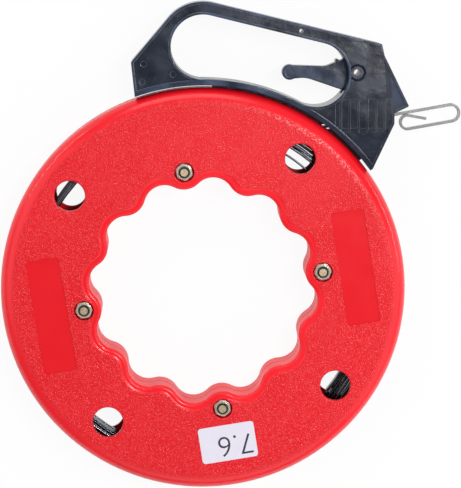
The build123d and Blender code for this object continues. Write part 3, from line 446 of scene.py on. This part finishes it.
def moulded_red(colours, sizes):
    """Glossy moulding with a leather grain on the flat faces, between the hub's lip and the rim,
    with painted shade in the grain's crevices and on the sunk plates.
    """
    f = Finish("case_plastic")
    x, y, z = f.axes(f.place)
    radius = x.hypot(y)
    bearing = y.angle_to(x)
    height = abs(z - CASE_MIDDLE)

    def below_face(deep, shallow, start=0.0, end=1.0):
        """A step between two depths below the nearer face."""
        return height.rise(FACE_HEIGHT - deep, FACE_HEIGHT - shallow, start, end)

    past_hub = radius - (
        HUB_MEAN_RADIUS - HUB_WAVE_HEIGHT * ((bearing - CASE_TURN) * HUB_WAVES).cos())
    past_lip = past_hub.rise(sizes.lip - LIP_STEP, sizes.lip + LIP_STEP)
    before_rim = (radius - (CASE_RADIUS - sizes.rim)).rise(-RIM_STEP, RIM_STEP, 1.0, 0.0)
    on_plate = below_face(PLATE_DEPTH + 0.08, PLATE_DEPTH + 0.02) * below_face(
        PLATE_DEPTH - 0.02, PLATE_DEPTH - 0.08, 1.0, 0.0)
    on_plate = on_plate * (radius - CASE_RADIUS).rise(
        -PLATE_MARGIN - PLATE_STEP, -PLATE_MARGIN + PLATE_STEP, 1.0, 0.0)
    grained = past_lip * before_rim * below_face(*FACE_EDGE) * (1.0 - on_plate)
    in_hub = past_hub.rise(*HUB_EDGE, 1.0, 0.0)
    seam = in_hub * height.rise(SEAM_WIDTH / 2, SEAM_WIDTH, 1.0, 0.0)

    shifted = f.node("ShaderNodeVectorMath", {"operation": "MULTIPLY_ADD"}, {
        0: f.noise(2.0, 2.0, output="Color"), 1: PEBBLE_SHIFT, 2: f.place})
    pebbles = 1.0 - f.pebbles(sizes.grain, shifted, PEBBLE_SMOOTHNESS).rise(*PEBBLE_EDGE)
    grain = pebbles * (0.85 + 0.15 * f.noise(2.5, 2.0)) + 0.18 * f.noise(0.45, 2.0)
    broad = f.noise(55.0, 2.0, 0.4)
    smudge = f.noise(14.0, 4.0, 0.6)
    scuff = f.noise(6.0, 5.0, 0.7, f.stretched(0.25, 1.4, 1.0)).rise(0.66, 0.78)

    red, green, blue = colours.case
    pale = (red, green + 0.006, blue + 0.008)
    base = f.mix(broad.between(0.3, 0.7, 0.0, 1.0), shaded(colours.case, 0.90), pale)
    # Painted shade: the crevices between the grain's pebbles are darkened.
    base = f.mix((1.0 - pebbles) * grained * 0.5, base, shaded(colours.case, 0.62))
    # Painted shade: the sunk plates' floors are darkened.
    base = f.mix(on_plate * 0.8, base, shaded(colours.case, 0.80))
    base = f.mix(seam * 0.9, base, shaded(colours.case, 0.12))
    roughness = CASE_ROUGHNESS + grained * 0.05 + in_hub * 0.20
    roughness = roughness + smudge.between(0.35, 0.7, 0.0, 0.08) + scuff * 0.08
    normal = f.bump(grain * grained, sizes.grain_depth, f.bump(broad, 0.5))
    return f.close(Base_Color=base, Roughness=roughness, Normal=normal, IOR=CASE_IOR)


def nut_pockets(sizes, material):
    """Collars of the case's own moulding that narrow each nut's pocket, flush with the face."""
    g = Shaping("nut_pockets", {
        "Count": BOLT_COUNT, "Bolt Circle": BOLT_CIRCLE * MM, "Turn": CASE_TURN,
        "Inner Radius": sizes.pocket * MM, "Outer Radius": POCKET_RADIUS * MM,
        "Depth": POCKET_DEPTH * MM, "Top": CASE_HIGH.z * MM})
    size = g.inputs
    wall = size["Outer Radius"] - size["Inner Radius"]
    section = g.rounded_bar(wall, size["Depth"], wall * COLLAR_ROUNDING, 3)
    ring = g.node("GeometryNodeCurvePrimitiveCircle", None, {
        "Resolution": COLLAR_FACETS, "Radius": size["Inner Radius"] + wall * 0.5})
    collar = g.node("GeometryNodeCurveToMesh", None, {0: ring, 1: section})
    corners = g.node("GeometryNodeMeshCircle", None, {
        "Vertices": size["Count"], "Radius": size["Bolt Circle"]})
    corners = g.node("GeometryNodeTransform", None, {
        "Geometry": corners, "Rotation": g.vector(0.0, 0.0, size["Turn"]),
        "Translation": g.vector(0.0, 0.0, size["Top"] - size["Depth"] * 0.5)})
    placed = g.node("GeometryNodeInstanceOnPoints", None, {"Points": corners, "Instance": collar})
    return g.grow("nut_pockets", bpy.data.meshes.new("nut_pockets"), placed, material)


def dress(node, material):
    """Give a CAD node its material."""
    coat(frame["nodes"][node].data, material)


class REEL_OT_case(bpy.types.Operator):
    """Finish both halves of the spinning case"""

    bl_idname = "reel.case"
    bl_label = "Case"

    def execute(self, context):
        scene = context.scene
        material = moulded_red(scene.reel_colours, scene.reel_sizes)
        for node in ("case_front", "case_back"):
            dress(node, material)
        pockets = nut_pockets(scene.reel_sizes, material)
        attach(pockets, "case")
        return {"FINISHED"}


# ---------------------------------------------------------------- metals and small parts

# Distances from a bolt's axis, in millimetres, over which one finish turns into the next.
BOLT_END = (1.75, 2.05)
INSERT_GRIP = (2.7, 2.95)
NUT_COLLAR = (3.35, 3.65)

THREAD_SHADE_TONE = (0.012, 0.02, 0.016)
NUT_EDGE_HIGHLIGHT = (0.95, 0.93, 0.88)
NUT_COLLAR_TONE = (0.34, 0.36, 0.26)
INSERT_GRIP_TONE = (0.010, 0.018, 0.014)
INSERT_RIM_TONE = (0.26, 0.29, 0.21)

# Tone and roughness of each plain metal.
METALS = {
    "screw_blacking": ((0.12, 0.12, 0.13), 0.38),
    "clip_steel": ((0.5, 0.5, 0.52), 0.3),
    "rivet_blacking": ((0.06, 0.06, 0.07), 0.34),
    "spring_steel": ((0.6, 0.6, 0.62), 0.25),
}
# Tone, roughness and size of the surface's peel, in millimetres, of each plain moulding.
MOULDINGS = {
    "guide_nylon": ((0.03, 0.03, 0.032), 0.45, 0.6),
    "shoe_nylon": ((0.12, 0.12, 0.12), 0.45, 0.6),
    "pad_rubber": ((0.02, 0.02, 0.02), 0.8, 0.3),
}


def metal(name):
    """Bare or blacked steel with fine streaks and darker tarnish."""
    tone, roughness = METALS[name]
    f = Finish(name)
    cloud = f.noise(3.0, 4.0, 0.6)
    streak = f.noise(0.35, 3.0, 0.6)
    base = f.mix(cloud.between(0.35, 0.75, 0.0, 0.8), tone, shaded(tone, 0.55))
    rough = roughness + (cloud - 0.5) * 0.12 + (streak - 0.5) * 0.12
    return f.close(Base_Color=base, Metallic=1.0, Roughness=rough, Normal=f.bump(streak, 0.012))


def moulding(name):
    """Small moulded parts with a faint orange peel."""
    tone, roughness, peel = MOULDINGS[name]
    f = Finish(name)
    cloud = f.noise(4.0, 3.0)
    base = f.mix(cloud.between(0.3, 0.7, 0.0, 1.0), tone, shaded(tone, 1.25))
    rough = roughness + (cloud - 0.5) * 0.2
    return f.close(Base_Color=base, Roughness=rough, Normal=f.bump(f.noise(peel, 2.0), 0.02))


def off_bolt(f):
    """Distance from the axis of the nearest bolt, in millimetres."""
    x, y, _ = f.axes(f.place)
    along = abs(x * math.cos(CASE_TURN) + y * math.sin(CASE_TURN))
    across = abs(y * math.cos(CASE_TURN) - x * math.sin(CASE_TURN))
    return (along.at_least(across) - BOLT_CIRCLE).hypot(along.at_most(across))


def bolt_plating(colours):
    """Yellow passivate on the bolt's flat end, and painted shade on the chamfer and thread round
    it.
    """
    f = Finish("bolt_plating")
    cloud = f.noise(1.4, 4.0, 0.6)
    # Painted shade: past the flat end, over the chamfer and thread, the bolt turns dark and less
    # metallic.
    thread = off_bolt(f).rise(*BOLT_END)
    base = f.mix(cloud.between(0.35, 0.7, 0.0, 1.0), colours.brass, shaded(colours.brass, 0.55))
    base = f.mix(thread, base, THREAD_SHADE_TONE)
    return f.close(Base_Color=base, Metallic=thread.between(0.0, 1.0, 0.75, 0.2),
                   Roughness=0.34 + (cloud - 0.5) * 0.2, Normal=f.bump(cloud, 0.05))


def nut_plating(colours):
    """Pale zinc on the hexagon with a painted highlight on its edges, darker on the turned collar.
    """
    f = Finish("nut_plating")
    cloud = f.noise(1.8, 4.0, 0.6)
    rounded, edge = f.edges(0.3)
    base = f.mix(cloud.between(0.4, 0.75, 0.0, 0.7), colours.zinc, shaded(colours.zinc, 0.6))
    # Painted highlight: the hexagon's edges are lightened towards white.
    base = f.mix(edge * 0.5, base, NUT_EDGE_HIGHLIGHT)
    base = f.mix(off_bolt(f).rise(*NUT_COLLAR, 0.5, 0.0), base, NUT_COLLAR_TONE)
    return f.close(Base_Color=base, Metallic=0.55, Roughness=0.26 + (cloud - 0.5) * 0.2,
                   Normal=f.bump(cloud, 0.03, rounded))


def insert_nylon():
    """Nylon ring: dark where it grips the thread, dusty green outside that."""
    f = Finish("insert_nylon")
    cloud = f.noise(1.0, 3.0)
    base = f.mix(off_bolt(f).rise(*INSERT_GRIP), INSERT_GRIP_TONE, INSERT_RIM_TONE)
    return f.close(Base_Color=base, Roughness=0.38 + (cloud - 0.5) * 0.2,
                   Normal=f.bump(cloud, 0.03))


class REEL_OT_fasteners(bpy.types.Operator):
    """Finish the bolts, the lock nuts and their inserts, and the handle's screws"""

    bl_idname = "reel.fasteners"
    bl_label = "Fasteners"

    def execute(self, context):
        colours = context.scene.reel_colours
        dress("case_bolts", bolt_plating(colours))
        dress("case_nuts", nut_plating(colours))
        dress("nut_inserts", insert_nylon())
        dress("handle_screws", metal("screw_blacking"))
        return {"FINISHED"}


# ---------------------------------------------------------------- tape

# Bearings on which the winding leans, is drawn out and fans out.
LEAN_BEARING = math.radians(195.0)
OVAL_BEARING = math.radians(54.0)
FAN_BEARING = math.radians(-2.0)

TURNS = 4.5
TURN_FACETS = 72
COLUMNS = 3
COLUMN_SHIFT = 2.3      # turns of sway between one column and the next
SWAY_ROUND = 1.6        # radius of the circle that the sway is read on
SWAY_STEP = 0.62        # step of the sway from one turn to the next
WINDING_SEED = 7
SEED_STEP = 1.7
SIDEWAYS = 0.12         # share of a turn's swing that it also makes along the axis
STRAND_ROUNDING = 0.2

# The inner end: it starts under the innermost turn, parts from it and lands on its clip.
LEAD_SWEEP = math.radians(138.0)
LEAD_PARTING = math.radians(75.0)
LEAD_LANDING = math.radians(40.0)
LEAD_COVER = 1.0
LEAD_STEPS = 100

# Painted shade: the dark tone along the hook's edges.
HOOK_EDGE_SHADE = (0.012, 0.012, 0.014)


def smooth(share):
    """A smooth step from 0 to 1, held at both ends."""
    share = min(1.0, max(0.0, share))
    return share * share * (3 - 2 * share)


def lead_mesh(centre, sizes):
    """Middle line of the strand from the winding to its clip, as a chain of edges."""
    low, high = corners_mm("tape_anchor")
    clip = (low + high) / 2 - centre
    end, reach = math.atan2(clip.y, clip.x), math.hypot(clip.x, clip.y)
    start = end - LEAD_SWEEP
    points = []
    for step in range(LEAD_STEPS + 1):
        bearing = start + (end - start) * step / LEAD_STEPS
        inner = sizes.band_radius + sizes.lean * math.cos(bearing - LEAN_BEARING)
        inner += sizes.oval * math.cos(2 * (bearing - OVAL_BEARING))
        parted = smooth((bearing - start) / LEAD_PARTING)
        distance = inner + LEAD_COVER - (sizes.lead_drop + LEAD_COVER) * parted
        distance += (reach - distance) * smooth(1.0 - (end - bearing) / LEAD_LANDING)
        points.append((distance * math.cos(bearing) * MM, distance * math.sin(bearing) * MM, 0.0))
    mesh = bpy.data.meshes.new("lead")
    mesh.from_pydata(points, [(step, step + 1) for step in range(LEAD_STEPS)], [])
    return mesh


def tape_winding(sizes, material):
    """The wound tape: strip on edge, tight on one side of the case and fanned out on the other."""
    low, high = corners_mm("tape_coil")
    centre = (low + high) / 2
    column_step = (high.z - low.z) / COLUMNS
    g = Shaping("tape_winding", {
        "Turns": TURNS, "Inner Radius": sizes.band_radius * MM, "Lean": sizes.lean * MM,
        "Oval": sizes.oval * MM, "Band Width": sizes.band_width * MM, "Fan": sizes.fan * MM,
        "Outer Limit": sizes.outer_limit * MM, "Strand": sizes.strand * MM,
        "Strand Width": (column_step - sizes.wander / 2) * MM, "Columns": COLUMNS,
        "Column Step": column_step * MM, "Wander": sizes.wander * MM, "Seed": WINDING_SEED})
    size = g.inputs

    spiral = g.node("GeometryNodeCurveSpiral", None, {
        "Resolution": TURN_FACETS, "Rotations": size["Turns"], "Start Radius": size["Inner Radius"],
        "End Radius": size["Inner Radius"] + size["Band Width"], "Height": 0.0})
    first = g.vector(0.0, 0.0, size["Column Step"] * (1.0 - size["Columns"]) / 2.0)
    column_line = g.node("GeometryNodeMeshLine", {"mode": "OFFSET"}, {
        "Count": size["Columns"], "Start Location": first,
        "Offset": g.vector(0.0, 0.0, size["Column Step"])})
    columns_of_turns = g.node("GeometryNodeInstanceOnPoints", None, {
        "Points": column_line, "Instance": spiral})
    coil = g.node("GeometryNodeRealizeInstances", None, {0: columns_of_turns})

    x, y, z = g.axes(g.node("GeometryNodeInputPosition"))
    bearing = y.angle_to(x)
    radius = x.hypot(y)
    share = (radius - size["Inner Radius"]) / size["Band Width"]
    inner = size["Inner Radius"] + size["Lean"] * (bearing - LEAN_BEARING).cos()
    inner = inner + size["Oval"] * ((bearing - OVAL_BEARING) * 2.0).cos()
    width = size["Band Width"] + size["Fan"] * (bearing - FAN_BEARING).cos()
    turn = share * size["Turns"] + z / size["Column Step"] * COLUMN_SHIFT
    around = g.vector(bearing.cos() * SWAY_ROUND, (bearing - math.pi / 2).cos() * SWAY_ROUND,
                      turn * SWAY_STEP)
    sway = g.node("ShaderNodeTexNoise", {"noise_dimensions": "4D"}, {
        "Vector": around, "W": size["Seed"] * SEED_STEP, "Scale": 1.0, "Detail": 2.0},
        output="Fac")
    swing = (sway - 0.5) * 2.0 * size["Wander"] * (width / size["Band Width"])
    settled = (inner + width * share + swing).at_most(size["Outer Limit"]) / radius
    loose = g.node("GeometryNodeSetPosition", None, {
        "Geometry": coil,
        "Position": g.vector(x * settled, y * settled, z + swing * SIDEWAYS)})

    lead = g.node("GeometryNodeMeshToCurve", None, {0: size["Geometry"]})
    section = g.rounded_bar(size["Strand"], size["Strand Width"],
                            size["Strand"] * STRAND_ROUNDING, 2)
    joined = g.tree.nodes.new("GeometryNodeJoinGeometry")
    for strand in (loose, lead):
        upright = g.node("GeometryNodeSetCurveNormal", {"mode": "Z_UP"}, {0: strand})
        strip = g.node("GeometryNodeCurveToMesh", None, {0: upright, 1: section, "Fill Caps": True})
        g.tree.links.new(strip.socket, joined.inputs[0])
    moved = g.node("GeometryNodeTransform", None, {
        "Geometry": Signal(g, joined.outputs[0]), "Translation": tuple(MM * c for c in centre)})
    return g.grow("wound_tape", lead_mesh(centre, sizes), moved, material)


def edged_steel(name, middle, edge, roughness, size, round_over=0.28, streak_height=0.008):
    """Steel strip: dark or bright on its face, and the other way on its edges: worn steel with
    painted highlight on the tape, painted shade on the hook.
    """
    f = Finish(name)
    rounded, accent = f.edges(round_over)
    cloud = f.noise(size, 4.0, 0.6)
    streak = f.noise(0.5, 3.0, 0.6, f.stretched(1.0, 1.0, 0.3))
    base = f.mix(cloud.between(0.35, 0.75, 0.0, 0.6), middle, shaded(middle, 0.5))
    # The edges take the other tone: on the tape wear and painted highlight, on the hook painted
    # shade. Less metal on the edges lets them catch more light.
    base = f.mix(accent * cloud.between(0.3, 0.6, 0.6, 1.0), base, edge)
    rough = roughness + (cloud - 0.5) * 0.12 + (streak - 0.5) * 0.1
    return f.close(Base_Color=base, Metallic=1.0 - accent * 0.55, Roughness=rough,
                   Normal=f.bump(streak, streak_height, rounded))


class REEL_OT_tape(bpy.types.Operator):
    """Wind the steel tape and finish its anchor, its guide and its hook"""

    bl_idname = "reel.tape"
    bl_label = "Tape"

    def execute(self, context):
        colours, sizes = context.scene.reel_colours, context.scene.reel_sizes
        blued = edged_steel("tape_steel", colours.tape, colours.tape_edge_wear_and_highlight, roughness=0.22,
                            size=6.0)
        winding = tape_winding(sizes, blued)
        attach(winding, "case")
        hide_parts("tape_coil")
        dress("tape_feed", blued)
        dress("tape_end", edged_steel("hook_steel", colours.hook, HOOK_EDGE_SHADE, roughness=0.30,
                                      size=4.0, round_over=0.22, streak_height=0.002))
        dress("tape_anchor", metal("clip_steel"))
        dress("tape_guide", moulding("guide_nylon"))
        return {"FINISHED"}


# ---------------------------------------------------------------- handle and trigger

# Along Y, over which the handle turns lighter, in cloudy patches, towards its nose.
NOSE_RAMP = (82.0, 102.0)
# Depths below the handle's top between which the sunk panels and flutes lie; painted shade darkens
# them.
SUNK_FROM = (0.28, 0.42)
SUNK_TO = (1.3, 1.6)

HANDLE_EDGE_RADIUS = 0.4
HANDLE_ROUGHNESS = 0.17
TRIGGER_ROUGHNESS = 0.18
HANDLE_IOR = 1.5

# Points of the leaf nearer than this are one point.
SAME_POINT = 0.001


def moulded_black(name, colours, roughness):
    """Blue-black semi-gloss moulding, slightly uneven, lighter in cloudy patches towards the nose,
    with fine scratches, painted shade in the sunk panels and painted highlight on the edges.
    """
    f = Finish(name)
    broad = f.noise(16.0, 3.0, 0.5)
    cloudy = f.noise(11.0, 2.0, 0.4)
    accent = f.noise(5.0, 3.0, 0.5)
    scratch = f.noise(2.2, 4.0, 0.7, f.stretched(2.5, 0.22, 1.0)).rise(0.64, 0.72)
    rounded, edge = f.edges(HANDLE_EDGE_RADIUS)
    _, y, z = f.axes(f.place)
    # Along Y the handle turns lighter, in cloudy patches, towards its nose.
    held = y.between(*NOSE_RAMP, 0.05, 1.0)
    below = HANDLE_TOP - z
    sunk = below.rise(*SUNK_FROM) * below.rise(*SUNK_TO, 1.0, 0.0)

    lighter_patches = cloudy.between(0.32, 0.72, 0.1, 1.0) * held * 0.85
    base = f.mix(lighter_patches, colours.handle, colours.handle_patch_tone)
    base = f.mix(accent.between(0.5, 0.8, 0.0, 0.25) * held, base, colours.handle_patch_tone)
    # Painted shade: the sunk panels and flutes are darkened.
    base = f.mix(sunk * 0.75, base, shaded(colours.handle, 0.5))
    base = f.mix(scratch * 0.25, base, colours.handle_scratch_and_edge_highlight)
    # Painted highlight, with wear: the handle's edges are lightened.
    base = f.mix(edge * accent.between(0.3, 0.6, 0.35, 1.0), base, colours.handle_scratch_and_edge_highlight)
    rough = roughness + cloudy.between(0.3, 0.8, 0.0, 0.2) * held
    rough = rough + (accent - 0.5) * 0.12 + scratch * 0.1
    normal = f.bump(f.noise(0.35, 2.0), 0.012, f.bump(broad, 0.4, rounded))
    return f.close(Base_Color=base, Roughness=rough, Normal=normal, IOR=HANDLE_IOR)


class REEL_OT_handle(bpy.types.Operator):
    """Finish both halves of the handle"""

    bl_idname = "reel.handle"
    bl_label = "Handle"

    def execute(self, context):
        material = moulded_black("handle_plastic", context.scene.reel_colours, HANDLE_ROUGHNESS)
        for node in ("handle_front", "handle_rear"):
            dress(node, material)
        return {"FINISHED"}


def leaf_spring(material):
    """The bowed leaf under the shoe's head, as a mesh of its own with merged points, carried by the
    handle.
    """
    mesh = frame["nodes"]["brake_spring"].data.copy()
    shape = bmesh.new()
    shape.from_mesh(mesh)
    bmesh.ops.remove_doubles(shape, verts=shape.verts, dist=SAME_POINT * MM)
    shape.to_mesh(mesh)
    shape.free()
    coat(mesh, material)
    piece = add_object("leaf_spring", mesh)
    joints = frame["record"]["behaviour"]["joints"]
    press = next(joint for joint in joints if joint["name"] == "brake_press")
    axis = Vector(press["axis"])
    heights = [vertex.co.dot(axis) for vertex in mesh.vertices]
    rise = max(heights) - min(heights)
    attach(piece, "handle")
    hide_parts("brake_spring")
    1 - press["range_m"][1] / rise
    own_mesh(piece)


class REEL_OT_trigger(bpy.types.Operator):
    """Finish the trigger, its hollow rivet and the brake behind it"""

    bl_idname = "reel.trigger"
    bl_label = "Trigger and brake"

    def execute(self, context):
        colours = context.scene.reel_colours
        dress("trigger", moulded_black("trigger_plastic", colours, TRIGGER_ROUGHNESS))
        dress("trigger_pivot", metal("rivet_blacking"))
        dress("brake_shoe", moulding("shoe_nylon"))
        dress("brake_pad", moulding("pad_rubber"))
        leaf_spring(metal("spring_steel"))
        return {"FINISHED"}


# ---------------------------------------------------------------- sticker

TAPE_METRES = "7.6"
PRINT_THICKNESS = 0.01


def sticker_film(colours):
    """Printed film: faint paper texture and a slightly uneven white."""
    f = Finish("label_film")
    cloud = f.noise(5.0, 3.0)
    fibre = f.noise(0.25, 2.0)
    base = f.mix(cloud.between(0.3, 0.7, 0.0, 1.0), colours.sticker, shaded(colours.sticker, 0.96))
    return f.close(Base_Color=base, Roughness=0.42 + (cloud - 0.5) * 0.15,
                   Normal=f.bump(fibre, 0.01))


def print_ink(colours):
    """Thin print, a little uneven."""
    f = Finish("label_ink")
    patchy = f.noise(0.8, 3.0)
    thin = tuple(2.2 * part + 0.02 for part in colours.ink)
    base = f.mix(patchy.between(0.35, 0.75, 0.0, 1.0), colours.ink, thin)
    return f.close(Base_Color=base, Roughness=0.5 + (patchy - 0.5) * 0.2,
                   Normal=f.bump(patchy, 0.004))


def numerals(text, sizes, material):
    """Printed numerals: the tape's length in metres, upside down as the reel hangs."""
    type_curve = bpy.data.curves.new("numerals_type", "FONT")
    type_curve.body = text
    type_curve.size = sizes.numeral * MM
    type_curve.align_x, type_curve.align_y = "CENTER", "CENTER"
    type_curve.offset = -sizes.numeral_thinning / 2 * MM
    type_curve.extrude = PRINT_THICKNESS * MM
    holder = add_object("numerals_type", type_curve)
    depsgraph = bpy.context.evaluated_depsgraph_get()
    mesh = bpy.data.meshes.new_from_object(holder.evaluated_get(depsgraph))
    bpy.data.objects.remove(holder)
    low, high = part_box("length_label")
    place = Matrix.Translation(((low.x + high.x) / 2, (low.y + high.y) / 2, high.z))
    turn = Matrix.Rotation(math.pi + CASE_TURN, 4, "Z")
    middle = sum((vertex.co for vertex in mesh.vertices), Vector()) / len(mesh.vertices)
    mesh.transform(place @ turn @ Matrix.Translation(-middle))
    coat(mesh, material)
    return add_object("sticker_numerals", mesh)


class REEL_OT_sticker(bpy.types.Operator):
    """Finish the sticker and print its numerals"""

    bl_idname = "reel.sticker"
    bl_label = "Sticker"

    def execute(self, context):
        colours, sizes = context.scene.reel_colours, context.scene.reel_sizes
        dress("length_label", sticker_film(colours))
        printed = numerals(TAPE_METRES, sizes, print_ink(colours))
        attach(printed, "case")
        return {"FINISHED"}


# ---------------------------------------------------------------- stage

WHITE = (1.0, 1.0, 1.0, 1.0)
ROOM_TINT = (0.95, 0.97, 1.0, 1.0)
FLOOR_TINT = (0.86, 0.86, 0.86, 1.0)
FLOOR_GLOW = 0.93
FLOOR_HALF = 4.0
FLOOR_DROP = 0.0002
CLIP_NEAR, CLIP_FAR = 0.05, 20.0

# Name, place and size in metres of each lamp, and the setting that holds its power.
LAMPS = (
    ("key_softbox", (0.42, 0.30, 1.1), (0.16, 0.5), "key"),
    ("left_softbox", (-0.95, 0.2, 0.8), (1.2, 1.2), "fill"),
    ("right_softbox", (1.0, -0.35, 0.75), (1.2, 1.2), "fill"),
    ("foot_softbox", (0.1, -1.1, 0.8), (1.2, 1.0), "fill"),
    ("head_softbox", (-0.1, 1.2, 0.6), (0.9, 0.6), "fill"),
    ("left_strip", (-0.95, 0.72, 0.18), (0.7, 0.05), "strip"),
    ("right_strip", (1.15, 0.25, 0.20), (0.6, 0.05), "strip"),
)


def background_share(f):
    """1 for the rays that see the backdrop: from the camera, in a reflection or through glass."""
    rays = f.node("ShaderNodeLightPath").socket.node
    camera, glossy, clear = (Signal(f, rays.outputs[name]) for name in (
        "Is Camera Ray", "Is Glossy Ray", "Is Transmission Ray"))
    return camera.at_least(glossy).at_least(clear)


def floor_material():
    """Pale floor that reads white and keeps a light shadow."""
    f = Finish("floor_paint")
    matt = f.node("ShaderNodeBsdfDiffuse", None, {"Color": FLOOR_TINT})
    glow = f.node("ShaderNodeEmission", None, {"Color": WHITE, "Strength": 1.0})
    return f.cover(f.node("ShaderNodeMixShader", None, {
        0: background_share(f) * FLOOR_GLOW, 1: matt, 2: glow}))


def light_world(strength):
    """An even pale room, white to the camera."""
    world = bpy.data.worlds.new("pale_room")
    world.use_nodes = True
    world.node_tree.nodes.clear()
    sky = Nodes(world.node_tree)
    room = sky.node("ShaderNodeBackground", None, {"Color": ROOM_TINT, "Strength": strength})
    seen = sky.node("ShaderNodeBackground", None, {"Color": WHITE, "Strength": 1.0})
    share = sky.node("ShaderNodeLightPath", output="Is Camera Ray")
    mixed = sky.node("ShaderNodeMixShader", None, {0: share, 1: room, 2: seen})
    sky.end("ShaderNodeOutputWorld", mixed, "Surface")
    bpy.context.scene.world = world


def soft_lamp(name, place, target, size, watts):
    """A rectangular softbox aimed at a point."""
    lamp = bpy.data.lights.new(name, "AREA")
    lamp.shape = "RECTANGLE"
    lamp.size, lamp.size_y = size
    lamp.energy = watts
    stand = add_object(name, lamp)
    stand.location = place
    aim = Vector(target) - Vector(place)
    stand.rotation_euler = aim.to_track_quat("-Z", "Y").to_euler()


def floor_object():
    """A flat square just under the reel."""
    mesh = bpy.data.meshes.new("floor")
    corners = [(-1, -1), (1, -1), (1, 1), (-1, 1)]
    mesh.from_pydata([(x * FLOOR_HALF, y * FLOOR_HALF, 0) for x, y in corners], [], [(0, 1, 2, 3)])
    mesh.materials.append(floor_material())
    floor = add_object("floor", mesh)
    floor.location.z = -FLOOR_DROP
    return floor


class REEL_OT_stage(bpy.types.Operator):
    """Set up the floor, the room, the softboxes and the camera"""

    bl_idname = "reel.stage"
    bl_label = "Stage"

    def execute(self, context):
        scene, stage = context.scene, context.scene.reel_stage
        floor = floor_object()
        light_world(stage.room)
        centre = (CAD_BOX[0] + CAD_BOX[1]) / 2
        for name, place, size, setting in LAMPS:
            soft_lamp(name, place, centre, size, getattr(stage, setting))
        camera = add_object("camera", bpy.data.cameras.new("camera"))
        camera.data.lens = stage.lens
        camera.data.clip_start, camera.data.clip_end = CLIP_NEAR, CLIP_FAR
        camera.location = stage.camera_place
        camera.rotation_euler = stage.camera_turn
        scene.camera = camera
        scene.view_settings.view_transform = "Standard"
        return {"FINISHED"}


# ---------------------------------------------------------------- add-on

OPERATORS = (REEL_OT_stage, REEL_OT_case, REEL_OT_fasteners, REEL_OT_tape, REEL_OT_handle,
             REEL_OT_trigger, REEL_OT_sticker)


class REEL_PT_panel(bpy.types.Panel):
    """Steps that dress the reel"""

    bl_idname = "REEL_PT_panel"
    bl_label = "Fish tape reel"
    bl_space_type = "VIEW_3D"
    bl_region_type = "UI"
    bl_category = "Reel"

    def draw(self, context):
        layout = self.layout
        for setting in GROUPS:
            box = layout.box()
            group = getattr(context.scene, setting)
            for name in group.bl_rna.properties.keys():
                if name not in ("rna_type", "name"):
                    box.prop(group, name)
        for operator in OPERATORS:
            layout.operator(operator.bl_idname)


GROUPS = {"reel_colours": ReelColours, "reel_sizes": ReelSizes, "reel_stage": ReelStage}


def register():
    for group in GROUPS.values():
        bpy.utils.register_class(group)
    for name, group in GROUPS.items():
        setattr(bpy.types.Scene, name, bpy.props.PointerProperty(type=group))
    for operator in OPERATORS:
        bpy.utils.register_class(operator)
    bpy.utils.register_class(REEL_PT_panel)


def unregister():
    bpy.utils.unregister_class(REEL_PT_panel)
    for operator in reversed(OPERATORS):
        bpy.utils.unregister_class(operator)
    for name, group in GROUPS.items():
        delattr(bpy.types.Scene, name)
        bpy.utils.unregister_class(group)


def main():
    register()
    for operator in OPERATORS:
        group, name = operator.bl_idname.split(".")
        getattr(getattr(bpy.ops, group), name)()


if __name__ == "__main__":
    main()
